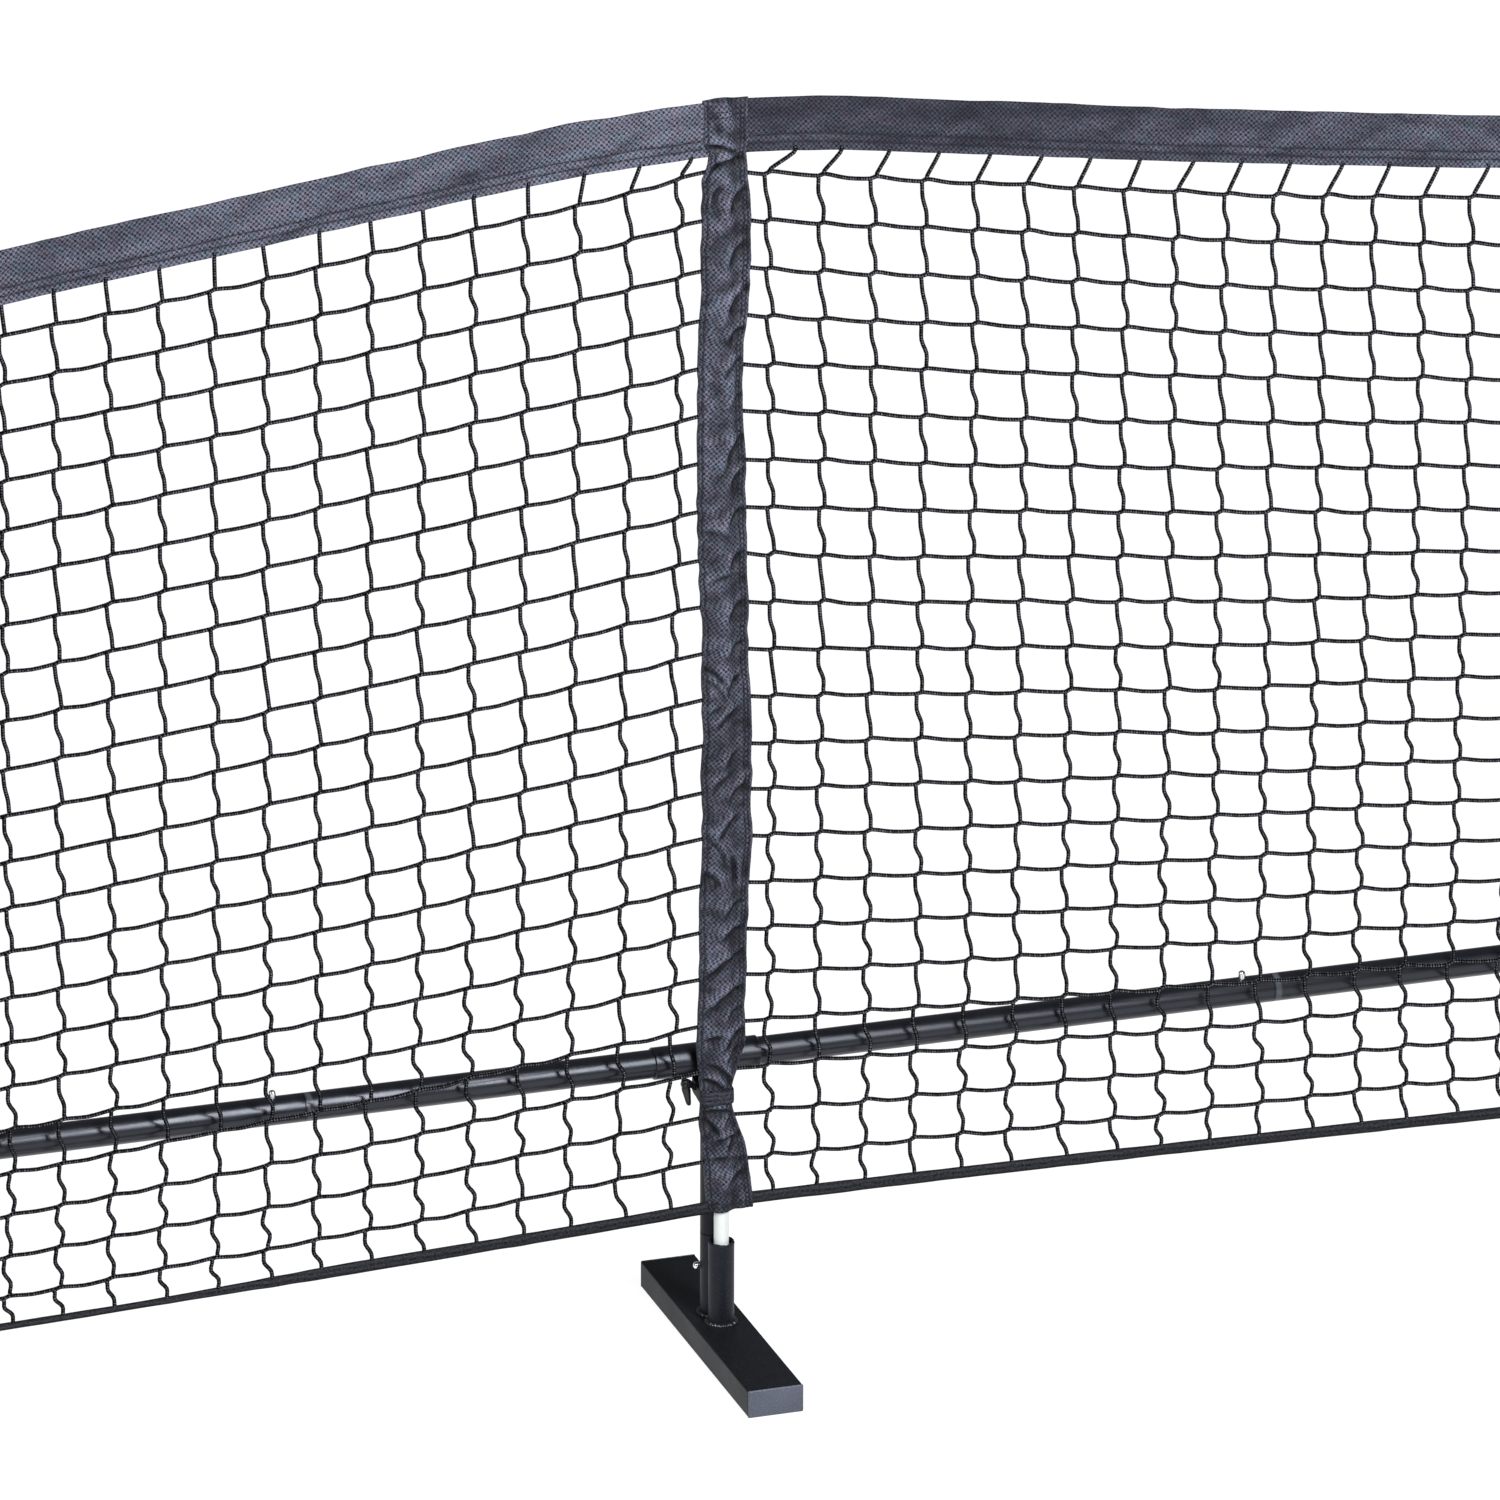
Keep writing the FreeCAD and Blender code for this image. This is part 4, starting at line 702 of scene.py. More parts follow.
class Sleeve:
    """A cloth tube round an upright: thin sewn edges, a ridge over the upright, and folds."""

    cols = 120
    thick = 0.6
    flange = 2.4
    proud = 3.6
    rod_top = 862.9
    roof = 1.6

    def __init__(self, name, z, edges, core, depth, folds, centre, seams, seed):
        self.shut = centre[0] == 0
        left, right = (edge[:, None] for edge in edges)
        cosine, sine = rounded(turns(self.cols), 0.8)
        x = -left + (left + right) * (0.5 + 0.5 * cosine)
        zz = np.broadcast_to(z[:, None], x.shape)
        inside = np.minimum(x + left, right - x)
        off = x - (0.9 * ripple(z, 60, seed)[:, None] - 0.9)
        swell = np.where(off < 0, bell(off, core + 3.4, 2.6), bell(off, core + 1.6, 3.4))
        half = (self.flange + (depth - self.flange) * swell) * np.clip(inside / 1.2, 0, 1) ** 0.5
        out, tone = self.relief(x, zz, folds, [seam(z)[:, None] for seam in seams], seed)
        out *= ease(inside, 0.3, 4)
        # Painted shade in the hollow just right of the ridge over the upright.
        tone *= 1 - 0.4 * bell(off - core - 3.6, 2.6)
        cover = np.maximum(np.sqrt(np.clip((core + 0.5) ** 2 - x * x, 0, None)), 0.5)
        front = np.clip(-(half + out), -(depth + self.proud), -cover)
        back = np.clip(half + 0.4 * noise(x + 40, zz, 14, seed + 3), cover, depth)
        y = np.where(sine > 0, front, back) * self.closing(zz)
        y = np.where(inside < 0.05, 0.0, y)
        deep = np.sign(y) * np.maximum(np.abs(y) - self.thick, 0.02)
        self.outer = xyz(x + centre[0], y + centre[1], zz)
        low = np.minimum(zz, z[-1] - 0.5)
        inner = xyz(x - self.thick * cosine + centre[0], deep + centre[1], low)
        self.thing = mesh_object(name, *self.shell(inner))
        set_tone(self.thing, np.concatenate([tone, 0.6 + 0 * tone]))
        closed = np.concatenate([self.outer, self.outer[:, :1]], 1)
        self.width = float(running(closed)[:, -1].mean())

    def relief(self, x, z, folds, seams, seed):
        """How far the front stands out, and how light it is: painted shade in the folds' hollows, painted
        light on their ridges, and darker towards the bottom.
        """
        out = 1.5 * fold_field(x, z, folds)
        out += 1.1 * noise(x + 0.6 * z, z - 0.5 * x, 9, seed + 1)
        out += 0.6 * noise(x - 0.5 * z, z, 4.5, seed + 2)
        # Painted light and shade: ridges of the folds lighter, hollows darker.
        tone = (0.66 + 0.58 * np.clip(out / 1.5, -1.0, 1.5)) * (1 + 0.3 * noise(x, z, 3, seed + 4))
        tone *= 0.82 + 0.18 * ease(z, 200, 820)
        for seam in seams:
            sewn = bell(x - seam, 0.8)
            out -= 0.5 * sewn
            tone *= 1 - 0.62 * sewn
        out *= 1 - 0.85 * self.shut * bell(z - TIE_HEIGHT, 6.5, 4)
        return out, tone

    def closing(self, z):
        """The share of its depth that the sleeve keeps; it shuts over the rod's top."""
        over = self.shut * np.clip(z - self.rod_top, 0, None) / self.roof
        return np.sqrt(np.clip(1 - over**2, 0, 1))

    def shell(self, inner):
        """Outer and inner skin and both rims."""
        count, cols, _ = self.outer.shape
        j = np.arange(cols)
        k = (j + 1) % cols
        base = count * cols
        end = base - cols
        low = np.stack([j, k, base + k, base + j], -1)
        high = np.stack([end + k, end + j, base + end + j, base + end + k], -1)
        rim = np.broadcast_arrays(np.stack([j, k, k, j], -1) * 0.5, [0, 0, 1, 1])
        rim = np.stack(rim, -1).reshape(-1, 2)
        points, faces, uvs = joined([turned_skin(self.outer), ring_skin(inner)])
        return points, np.concatenate([faces, low, high]), np.concatenate([uvs, rim, rim])

    def spots(self, x, z):
        """Points of the sleeve's front at x and z, read from its own rings."""
        heights = self.outer[:, 0, 2]
        rows = np.searchsorted(heights, z).clip(0, len(heights) - 1)
        points = []
        for px, pz, row in zip(x, z, rows):
            ring = self.outer[row, self.cols // 2 :: -1]
            points.append((px, np.interp(px, ring[:, 0], ring[:, 1]), pz))
        return np.array(points)


THREAD_RADIUS = 0.36


def stitches(spots, outward, length, radius=THREAD_RADIUS):
    """Short threads that rise out of the cloth, one at each spot."""
    along = unit(np.gradient(spots, axis=0))
    steps = [(-0.5, -0.35), (-0.33, 0.55), (0.0, 0.8), (0.33, 0.55), (0.5, -0.35)]
    points = [spots + along * length * a + np.asarray(outward) * radius * b for a, b in steps]
    return tubes(np.stack(points, 1), radius, 5)


def finish_sleeve(sleeve, name, parts):
    finish_piece(sleeve.thing, "sleeve", "sleeve_cloth", name)
    thread = add_piece(f"{name}_thread", joined(parts), "thread", "sleeve_cloth")


def add_centre_sleeve():
    seams = [
        lambda z: 2.8 - sleeve_side(-1, z),
        lambda z: sleeve_side(1, z) - 5.4,
        lambda z: sleeve_side(1, z) - 3.0,
    ]
    roof = Sleeve.rod_top + Sleeve.roof * np.sin(np.linspace(0.1, np.pi / 2, 9))
    heights = np.concatenate([np.linspace(99.5, 862.6, 470), roof])
    edges = [sleeve_side(sign, heights) for sign in (-1, 1)]
    sleeve = Sleeve("centre_sleeve_cloth", heights, edges, 5.0, 6.3, CENTRE_FOLDS, (0.0, 0.0), seams, 51)
    z = np.arange(103.0, 860.0, 4.3)
    z = z[np.abs(z - TIE_HEIGHT) > 7.0]
    parts = [stitches(sleeve.spots(seam(z), z), FRONT, 3.1) for seam in seams]
    for height in (103.4, 105.6):
        x = np.arange(-7.5, 20.0, 3.4)
        parts.append(stitches(sleeve.spots(x, height - 0.08 * x), FRONT, 2.5))
    for height in (858.0, 854.5, 831.0):
        x = np.arange(-11.0, 12.5, 2.6)
        parts.append(stitches(sleeve.spots(x, height + 0.06 * x), FRONT, 2.0, 0.42))
    finish_sleeve(sleeve, "centre_sleeve", parts)


def add_end_sleeve(side):
    sign = SIDES[side]
    rng = np.random.default_rng(77 + sign)
    folds = []
    for z in np.arange(175.0, 900.0, 27.0):
        start = rng.uniform(2, 12)
        run = rng.uniform(9, 16)
        drop = rng.uniform(6, 14)
        folds.append((start - run, z - drop, start, z, rng.uniform(0.8, 1.8), rng.uniform(2.8, 4.4)))

    seams = [lambda z: -13.6 + 0 * z, lambda z: 13.2 + 0 * z]
    centre = (sign * HALF_SPAN, END_POST_Y)
    heights = np.linspace(152.3, 913.2, 300)
    wave = 0.5 * ripple(heights, 30, 43 + sign) * (1 - bell(heights - END_TIE_HEIGHT, 12))
    edges = [16.6 + wave, 16.6 - wave]
    sleeve = Sleeve(f"{side}_end_sleeve_cloth", heights, edges, 8.6, 9.6, folds, centre, seams, 61)
    z = np.arange(168.0, 910.0, 5.0)
    parts = [stitches(sleeve.spots(seam(z) + centre[0], z), FRONT, 3.2) for seam in seams]
    finish_sleeve(sleeve, f"{side}_end_sleeve", parts)


# Band and hem

# Over the band's sewn edge: its rows of stitches, the steps of its outline and its rounded top.
STITCH_ROWS = (5.6, 11.0)
BAND_STEPS = (0, 0.5, 2.4, 4.8, 5.6, 6.4, 8.2, 10.2, 11.0, 11.8, 13.4, 16, 19, 22, 25, 28, 31)
BAND_ROOF = 1.9
BAND_CLOTH = 0.5


def out_from(start, fine, coarse):
    """Stations from a start out to the cloth's end, closer together near the centre."""
    near = np.arange(start, NEAR_END, fine)
    return np.concatenate([near, np.arange(NEAR_END, CLOTH_END, coarse), [CLOTH_END]])


def band_sway(side, x, up):
    """How far the band's cloth stands forward at x and at a height above its sewn edge."""
    seed = 91 if side == "left" else 97
    lean = x - 0.9 * up
    broad = 1.6 * noise(lean, 0.7 * up, 34, seed) + 1.2 * noise(lean, up, 15, seed + 1)
    pucker = 0.35 * noise(x, up, 6, seed + 2) * bell(up - 8, 7)
    crease = 2.0 * np.maximum(0, noise(0.45 * x - up, 0.5 * up + 0.2 * x, 8, seed + 3)) ** 2
    free = ease(np.abs(x), BAND_INNER + 4, BAND_INNER + 30) * (1 - ease(np.abs(x), 3290, 3330))
    return -(broad + pucker + crease) * free * (0.35 + 0.65 * ease(up, 0, 14))


def band_painted_tone(side, x, up, depth):
    """Painted light and shade on the band: patches for its crumples, darker along the stitch rows, and the
    right half painted darker than the left, darkest along its top by the sleeve.
    """
    seed = 105 if side == "left" else 115
    # Light and dark patches painted for the crumples of the cloth, as painted shade and light.
    fold = noise(0.45 * x - 0.9 * up, 1.3 * up, 11, seed)
    crumple_shade = 1 + 0.34 * fold + 0.24 * noise(0.6 * x + up, up, 5, seed + 1)
    crumple_shade -= 0.5 * np.maximum(0, noise(0.4 * x - 1.2 * up, up, 8, seed + 2) - 0.35)
    for row in STITCH_ROWS:
        crumple_shade *= 1 - 0.5 * bell(up - row, 0.9)
    crumple_shade *= 1 + 0.2 * (1 - ease(up, 1.5, 3))
    if side == "left":
        return crumple_shade * (0.95 + 0.1 * ease(up, depth, 6))
    # Painted shade: the right half darker near the sleeve, darkest along its top there.
    near = 1 - ease(x, 150, 620)
    crown_shade = ease(up, 0.5 * depth, 0.8 * depth) * near
    return crumple_shade * (0.88 - 0.48 * near) * (1 - 0.35 * crown_shade)


def band_wall(up, depth):
    """Half the thickness of the folded band at a height above its sewn edge."""
    wall = 1.0 + 0.75 * ease(up, 8, depth)
    for row in STITCH_ROWS:
        wall -= 0.42 * bell(up - row, 0.7)
    return wall


def band_outline(depth):
    """The folded cloth's outline: how far back and how high each point is."""
    up = np.array([*BAND_STEPS, depth - BAND_ROOF])
    arc = np.linspace(0, np.pi, 9)[1:-1]
    skins = []
    for shrink in (0.0, BAND_CLOTH):
        wall = band_wall(up, depth) - shrink
        back = np.concatenate([-wall, -wall[-1] * np.cos(arc), wall[::-1]])
        top = depth - BAND_ROOF + (BAND_ROOF - shrink) * np.sin(arc)
        skins.append(np.stack([back, np.concatenate([up, top, up[::-1]])]))
    return np.concatenate([skins[0], skins[1][:, ::-1]], 1)


def add_band(side):
    sign = SIDES[side]
    depth = BAND_DEPTH[side]
    x = out_from(BAND_INNER, 2.5, 7.0)
    xs = (sign * x)[:, None]
    y, rise = band_outline(depth)[:, None, :]
    low = (band_top(side, x) - depth + 0.25 * ripple(x, 17, 95))[:, None]
    rings = xyz(xs, y + band_sway(side, xs, rise), low + rise)
    skin = turned_skin if sign > 0 else ring_skin
    band = add_piece(f"band_cloth_{side}", skin(rings), "band", "band_cloth", f"top_band_{side}")
    set_tone(band, band_painted_tone(side, xs, rise + 0 * xs, depth))
    s = np.arange(BAND_INNER + 6.0, CLOTH_END - 6.0, 4.4)
    parts = []
    for row in STITCH_ROWS:
        for face in (-1, 1):
            up = row + 0.25 * ripple(s, 30, 98)
            y = face * (band_wall(up, depth) + 0.1) + band_sway(side, sign * s, up)
            spots = xyz(sign * s, y, band_top(side, s) - depth + up)
            parts.append(stitches(spots, (0.0, face, 0.0), 3.0))
    thread = add_piece(f"band_thread_{side}", joined(parts), "thread", "band_cloth")


def add_hem(side):
    """A rolled tape along the net's foot; on the left it turns edge-on for a stretch."""
    sign = SIDES[side]
    inner, seed = {"left": (7.0, 101), "right": (18.0, 103)}[side]
    x = out_from(inner, 3.0, 8.0)
    turn = 0.12 * ripple(x, 60, seed)
    wide = np.full_like(x, 4.05)
    deep = 2.3
    if side == "left":
        before = 1 - ease(x, 900, 1100)
        turn += 0.3 * ease(x, 190, 420) * before
        wide -= 1.7 * ease(x, 240, 400) * before
    wide = wide[:, None]
    p, q = rounded(turns(16), 0.85)
    tilt = (turn * np.pi / 2)[:, None]
    swell = 1 + 0.05 * ripple(x, 14, seed + 2)[:, None]
    rise = (wide * p * np.cos(tilt) - deep * q * np.sin(tilt)) * swell
    back = (wide * p * np.sin(tilt) + deep * q * np.cos(tilt)) * swell
    back += 0.5 * ripple(x, 90, seed + 3)[:, None]
    rings = xyz((sign * x)[:, None], back, hem_low(side, x)[:, None] + wide + rise)
    skin = turned_skin if sign > 0 else ring_skin
    hem = add_piece(f"hem_webbing_{side}", skin(rings), "hem", "hem_tape", f"hem_tape_{side}")


# Net cords

# How many columns are drawn finer, and how far the cords of a joint lie from the middle.
NEAR_COLUMNS = 17
TWIST = np.array([0.0, 0.75, 0.0])


def add_cords(name, side, near, far, sides):
    """Cords as one piece: finer near the centre than far out."""
    parts = [tubes(smooth_path(near, 3), CORD_RADIUS, 8), tubes(smooth_path(far, 1), CORD_RADIUS, sides)]
    add_piece(f"{name}_{side}", joined(parts), "cord", "net_cord", f"net_{side}")


def cords_along(side, seed, joint, slope, offset):
    """Cords along the net, from the centre sleeve out to the end sleeve."""
    sign = SIDES[side]
    first = joint - sign * offset - TWIST
    second = joint + sign * offset + TWIST
    edge = sign * (sleeve_side(sign, joint[0, :, 2]) - 3.0)
    start = xyz(edge, 0.0, joint[0, :, 2] + (edge - joint[0, :, 0]) * slope[0])
    far_x = sign * (CLOTH_END + 1.0)
    end = xyz(far_x, -0.5, row_height(side, np.arange(ROWS), far_x))
    after = np.concatenate([first[1:], end[None]], 0)
    middle = 0.5 * (second + after)
    middle[..., 2] -= 0.6 + 0.7 * knot_noise(0.9, seed + 2) + 0.5 * ease(ROW, 10, 21)
    middle[..., 1] += 0.4 * knot_noise(0.9, seed + 3)
    inner = np.stack([first, second, middle], 1).reshape(-1, ROWS, 3)
    chains = np.concatenate([start[None], inner, end[None]], 0).transpose(1, 0, 2)
    cut = 1 + 3 * NEAR_COLUMNS
    add_cords("net_cords_along", side, chains[:, : cut + 1], chains[:, cut:], 6)


def cords_down(side, seed, joint, offset):
    """Cords down the net, from the band to the hem tape."""
    count = np.arange(COLUMNS)
    lean = np.maximum(1.0, 8.0 - 1.7 * count)
    if side == "right":
        lean = 10.0 + 9.0 * np.exp(-count / 1.1)
    top_x = joint[:, 0, 0] + lean + 1.5 * ripple(count, 0.9, seed + 4)
    top_z = band_top(side, top_x) - BAND_DEPTH[side]
    top = xyz(top_x, 0.0, top_z + 3.0)
    mouth = xyz(top_x - 0.4, 0.0, top_z - 1.5)
    foot_x = joint[:, -1, 0] + 3.0 + 4.0 * ripple(count, 1.1, seed + 5)
    foot = xyz(foot_x, 0.0, hem_low(side, foot_x) + 4.0)
    high = joint + offset + TWIST
    low = joint - offset - TWIST
    gap = np.concatenate([high[:, 1:], foot[:, None]], 1) - low
    sway = (0.8 + 0.8 * ease(ROW, 8, 20)) * (1 + 0.5 * knot_noise(0.9, seed + 6))
    sway += 0.5 * knot_noise(0.8, seed + 7)
    swing = xyz(sway, 0.4 * sway, 0.0)
    lead = np.array([0.3, 0.0, -1.9])
    inner = [high - lead, high, low, low + lead, low + 0.36 * gap - swing, low + 0.68 * gap + swing]
    inner = np.stack(inner, 2).reshape(COLUMNS, -1, 3)
    chains = np.concatenate([top[:, None], mouth[:, None], inner, foot[:, None]], 1)
    add_cords("net_cords_down", side, chains[:NEAR_COLUMNS], chains[NEAR_COLUMNS:], 5)


def add_net(side):
    """Knotless square mesh: at each joint two cords run together for a few millimetres."""
    seed = 131 if side == "left" else 149
    joint = joints(side)
    slope = np.gradient(joint[..., 2], axis=0) / np.gradient(joint[..., 0], axis=0)
    reach = 2.3 + 0.5 * knot_noise(0.9, seed)
    climb = 0.28 + 0.2 * knot_noise(0.9, seed + 1)
    offset = xyz(reach, 0.0, reach * (slope + climb))
    cords_along(side, seed, joint, slope, offset)
    cords_down(side, seed, joint, offset)


# Ties and hook

HOOK_PIN = (-22.0, 9.5, 187.6)
HOOK_SIDES = 28
TIE_WIDTH = 9.8
TIE_THICK = 0.9
LOOP_POINTS = 150


def loop_path(corners, radius):
    """Evenly spaced points round a convex outline with rounded corners."""
    corners = np.array(corners, float)
    points = []
    for k, corner in enumerate(corners):
        before = unit(corners[k - 1] - corner)
        after = unit(corners[(k + 1) % len(corners)] - corner)
        half = 0.5 * math.acos(float(before @ after))
        middle = corner + unit(before + after) * radius / math.sin(half)
        reach = radius / math.tan(half)
        a = corner + before * reach - middle
        b = corner + after * reach - middle
        for t in np.linspace(0, 1, 10):
            points.append(middle + radius * unit(a * (1 - t) + b * t))
    points = np.array(points + points[:1])
    length = running(points)
    t = np.linspace(0, length[-1], LOOP_POINTS, endpoint=False)
    return np.stack([np.interp(t, length, points[:, k]) for k in (0, 1)], -1)


def strap(path, heights, width, thick, closed):
    """A flat strap on edge along a level path, with rounded edges."""
    path = np.asarray(path, float)
    step = np.roll(path, -1, 0) - np.roll(path, 1, 0) if closed else np.gradient(path, axis=0)
    step = unit(step)
    normal = np.stack([step[:, 1], -step[:, 0]], -1)[:, None]
    c, s = rounded(turns(16), 0.6)
    across = s * width / 2
    off = c * thick / 2 + 0.12 * noise(np.arange(len(path))[:, None], across, 2.6, 161)
    flat = path[:, None] + normal * off[..., None]
    rings = xyz(flat[..., 0], flat[..., 1], heights[:, None] + across)
    if closed:
        rings = np.concatenate([rings, rings[:1]], 0)
    return turned_skin(rings)


def lathe_y(centre, stations):
    """A turned form about an axis along Y, from (y, radius) stations."""
    angle = turns(16)
    x, y, z = centre
    along, radius = np.array(stations).T[..., None]
    return turned_skin(xyz(x + radius * np.cos(angle), y + along, z + radius * np.sin(angle)))


def add_ties():
    """The centre tie with its tab and rivet, and the two end ties."""
    path = loop_path([(-15.4, -6.9), (6.6, -6.9), (10.8, 27.3), (-11.8, 27.3)], 4.5)
    heights = TIE_HEIGHT + 0.5 * np.sin(turns(LOOP_POINTS) + 1.0)
    loop = strap(path, heights, TIE_WIDTH, TIE_THICK, True)
    share = np.linspace(0, 1, 24)
    tab_path = np.stack([-12.6 - 11.0 * share, 12.25 + 0.25 * np.sin(3 * share)], -1)
    tab = strap(tab_path, 183.4 + 4.2 * ease(share, 0, 0.75), 5.6, 0.8, False)
    add_piece("centre_tie_strap", joined([loop, tab]), "tie", "tie_strap", "centre_tie")
    stations = [(-2.6, 0), (-2.55, 1.5), (-2.35, 1.7), (-2.2, 1.5), (-2.15, 0.94), (2.7, 0.94)]
    stations += [(3.25, 1.6), (3.45, 1.5), (3.5, 0)]
    add_piece("tie_rivet", lathe_y(HOOK_PIN, stations), "hook", "hook_plastic")
    front = END_POST_Y - 10.5
    back = BAR_Y + 10.3
    corners = [(-17.8, front), (17.8, front), (17.8, back), (-17.8, back)]
    heights = END_TIE_HEIGHT + 0.4 * np.sin(turns(LOOP_POINTS))
    for side, sign in SIDES.items():
        path = loop_path(corners, 5.0)
        path[:, 0] += sign * HALF_SPAN
        loop = strap(path, heights, TIE_WIDTH, TIE_THICK, True)
        add_piece(f"{side}_end_tie_strap", loop, "tie", "tie_strap", f"{side}_end_tie")


def add_hook():
    """Moulded hook: an eye on the rivet and a tapered tongue that leans right."""
    cx, cy, cz = HOOK_PIN
    angle = turns(HOOK_SIDES)
    p, q = rounded(turns(12), 0.8)
    r = 2.1 + 0.95 * p
    a = np.append(angle, 0.0)[:, None]
    eye = xyz(cx + r * np.cos(a), cy + 1.9 * q, cz + r * np.sin(a))
    # How far down the tongue, half its width, half its depth.
    profile = [
        (1.6, 2.3, 1.5), (2.6, 2.9, 1.9), (4.5, 3, 2), (7, 2.6, 1.9),
        (10, 2.2, 1.75), (12.8, 1.85, 1.55), (14.2, 1.6, 1.4), (15, 1.2, 1.05),
        (15.4, 0.6, 0.5), (15.5, 0, 0),
    ]
    p, q = rounded(angle, 0.85)
    down, wide, deep = np.array(profile).T[..., None]
    tongue = xyz(cx + 0.17 * down + p * wide, cy + q * deep, cz - down)
    skin = joined([ring_skin(eye), turned_skin(tongue)])
    add_piece("tie_hook_moulding", skin, "hook", "hook_plastic", "tie_hook", body="tie_hook")


# Feet: plates, welds and the rod's socket

FOOT_WIDTH = 38.0
FOOT_HEIGHT = 19.0
FOOT_LENGTH = 228.0
END_FOOT_LENGTH = 600.0
PLATE = 2.0
SOCKET_RADIUS = 8.6


def add_plates():
    """Plates over the feet's ends, with eased edges."""
    form = bmesh.new()
    feet = [(0.0, FOOT_LENGTH), (-HALF_SPAN, END_FOOT_LENGTH), (HALF_SPAN, END_FOOT_LENGTH)]
    for x, length in feet:
        for sign in (-1, 1):
            size = Vector((FOOT_WIDTH, PLATE, FOOT_HEIGHT))
            middle = Vector((x, sign * (length - PLATE) / 2, FOOT_HEIGHT / 2))
            for vert in bmesh.ops.create_cube(form, size=1.0)["verts"]:
                vert.co = (vert.co * size + middle) * MM
    bmesh.ops.bevel(form, geom=form.edges[:], offset=0.0011, segments=3, affect="EDGES", profile=0.6)
    mesh = bpy.data.meshes.new("foot_plates")
    form.to_mesh(mesh)
    form.free()
    plates = add_object("foot_plates", mesh)
    for face in mesh.polygons:
        face.use_smooth = True
    finish_piece(plates, "plate", "foot_coat", "foot_end_plates")


def add_welds():
    """Uneven fillet beads, rippled by the torch, round the foot of each socket."""
    spots = [(0.0, 0.0), (0.0, BAR_Y)]
    for sign in SIDES.values():
        spots += [(sign * HALF_SPAN, END_POST_Y), (sign * HALF_SPAN, BAR_Y)]
    steps = 133
    rows = 10
    turn = np.linspace(0, 2 * np.pi, steps)
    rise = np.linspace(0, np.pi / 2, rows)
    parts = []
    for number, (x, y) in enumerate(spots):
        size = 2.4 + 0.24 * np.sin(30 * turn + 2.0 * ripple(turn, 0.8, 181 + number))
        size += 0.45 * np.sin(turn + number) * ripple(12 * turn, 1.6, 191 + number)
        radius = SOCKET_RADIUS - 0.1 + size[:, None] * np.cos(rise) ** 0.9 + 0.15 * np.sin(2 * rise)
        height = FOOT_HEIGHT - 0.1 + size[:, None] * np.sin(rise) ** 0.9
        bead = xyz(x + radius * np.cos(turn)[:, None], y + radius * np.sin(turn)[:, None], height)
        uvs = grid_uvs(np.arange(steps)[:, None] * 0.5, np.arange(rows) * 0.4)
        parts.append((bead.reshape(-1, 3), *flipped(grid_faces(steps, rows, False), uvs)))
    add_piece("weld_beads", joined(parts), "weld", "weld", "foot_welds")


def add_rod_socket():
    """The socket of the centre rod, with a worn, slightly uneven mouth."""
    angle = turns(96)
    top = 77.0
    foot = FOOT_HEIGHT
    outer = SOCKET_RADIUS
    bore = 6.9
    stations = [(outer, foot), (outer, 45.0), (outer, 70.0), (outer, 74.5), (8.75, 75.7), (8.7, 76.6)]
    stations += [(8.35, 77.1), (7.7, 77.2), (7.1, 76.9), (bore, 76.2), (bore, 70.0), (bore, foot)]
    stations += [(outer, foot)]
    lip = 0.35 * ripple(6 * angle, 1.1, 201) + 0.15 * ripple(6 * angle, 0.4, 202)
    radius, height = np.array(stations).T[..., None]
    near = ease(height, 72, top - 0.5)
    r = radius + 0.12 * near * ripple(6 * angle + height, 0.7, 203)
    rings = xyz(r * np.cos(angle), r * np.sin(angle), height + lip * near)
    add_piece("rod_socket_tube", ring_skin(rings), "socket", "foot_coat", "centre_rod_socket")


# Spring clips

CLIP_WIDTH = 6.0
CLIP_THICK = 0.8
CLIP_TAIL = 4.0
CLIP_REACH = 32.0
CLIP_BEND = 0.9
CLIP_GAP = 0.1
# From leaf to leaf, and how far a button goes in.
CLIP_HEIGHTS = {"crossbar_clips": 10.0, "post_clips": 7.4}


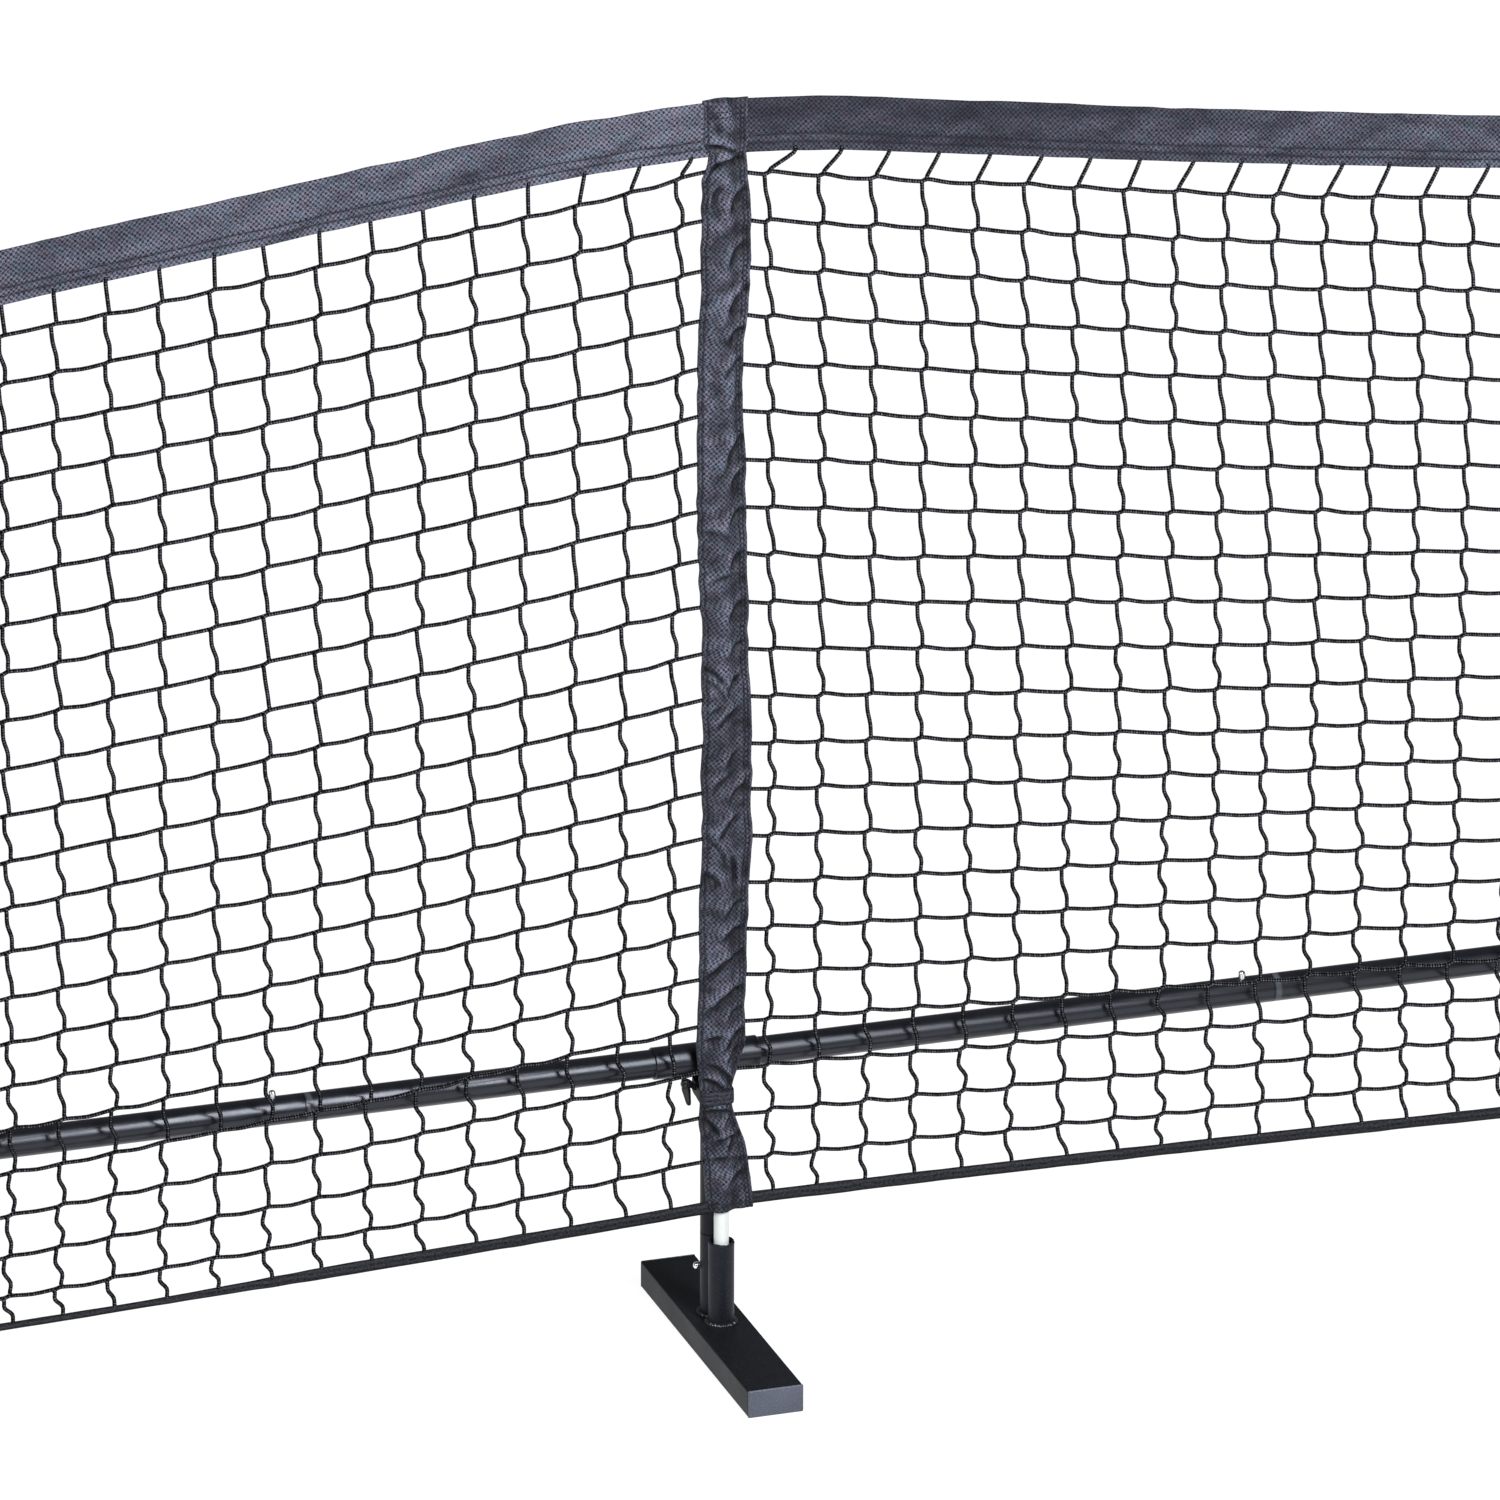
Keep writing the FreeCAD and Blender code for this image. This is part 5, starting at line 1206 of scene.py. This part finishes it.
def clip_rings(height):
    """Rings of a folded leaf spring as (along, out, across)."""
    turn = np.linspace(0.5 * np.pi, -0.5 * np.pi, 9)
    centre = CLIP_REACH - 0.5 * CLIP_THICK - CLIP_BEND
    leg = 0.5 * CLIP_THICK
    bend = np.stack([centre + CLIP_BEND * np.cos(turn), CLIP_BEND * np.sin(turn) - 0.5 * height], -1)
    upper = [(-CLIP_TAIL, -leg), (0.0, -leg), (CLIP_TAIL, -leg)]
    lower = [(CLIP_TAIL, leg - height), (0.0, leg - height), (-CLIP_TAIL, leg - height)]
    spine = np.concatenate([upper, bend, lower])
    step = unit(np.gradient(spine, axis=0))
    normal = np.stack([-step[:, 1], step[:, 0]], -1)
    side = np.array([leg, leg, -leg, -leg])[:, None]
    edge = 0.5 * CLIP_WIDTH * np.array([1, -1, -1, 1])
    flat = spine[:, None] + side * normal[:, None]
    rings = xyz(flat[..., 0], flat[..., 1], edge)
    ends = rings[[0, -1]].mean(1, keepdims=True)
    caps = ends + 0.01 * (rings[[0, -1]] - ends)
    return np.concatenate([caps[:1], rings, caps[1:]])


def add_clips():
    """A folded leaf spring behind each button."""
    for joint in frame["joints"]:
        if not joint["name"].endswith("_press"):
            continue
        out = -np.array(joint["axis"], float)
        on_bar = out[2] > 0.5
        along = np.array((1.0, 0.0, 0.0) if on_bar else (0.0, 0.0, -1.0))
        node = "crossbar_clips" if on_bar else "post_clips"
        height = CLIP_HEIGHTS[node]
        button = frame["nodes"][joint["child"]]
        corners = np.array([button.matrix_world @ Vector(corner) for corner in button.bound_box]) / MM
        middle = corners.mean(0)
        seat = (corners @ out).min() - CLIP_GAP
        start = middle + out * (seat - middle @ out)
        rings = start + clip_rings(height) @ np.stack([along, out, np.cross(along, out)])
        thing = mesh_object(joint["child"] + "_spring", *turned_skin(rings), smooth=False)
        finish_piece(thing, "spring", "spring_steel", node)
        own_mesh(thing)


# Solids that are shown as they are

# The first of these words in a node's name picks its material; the rest are tubes.
NODE_WORDS = {
    "button": "button", "socket": "socket", "centre_rod": "rod", "caps": "cap", "post": "socket",
    "foot": "foot",
}


def dress_nodes():
    """Give every CAD node its material."""
    for name, thing in frame["nodes"].items():
        found = [mat for word, mat in NODE_WORDS.items() if word in name]
        thing.data.materials.clear()
        thing.data.materials.append(MAT[found[0] if found else "tube"])


add_camera()
add_lamps()
add_world()
add_floor()
dress_nodes()
for side in SIDES:
    add_band(side)
    add_net(side)
    add_hem(side)
    add_end_sleeve(side)
add_centre_sleeve()
add_ties()
add_hook()
add_plates()
add_welds()
add_rod_socket()
add_clips()

scene.view_settings.view_transform = "Standard"
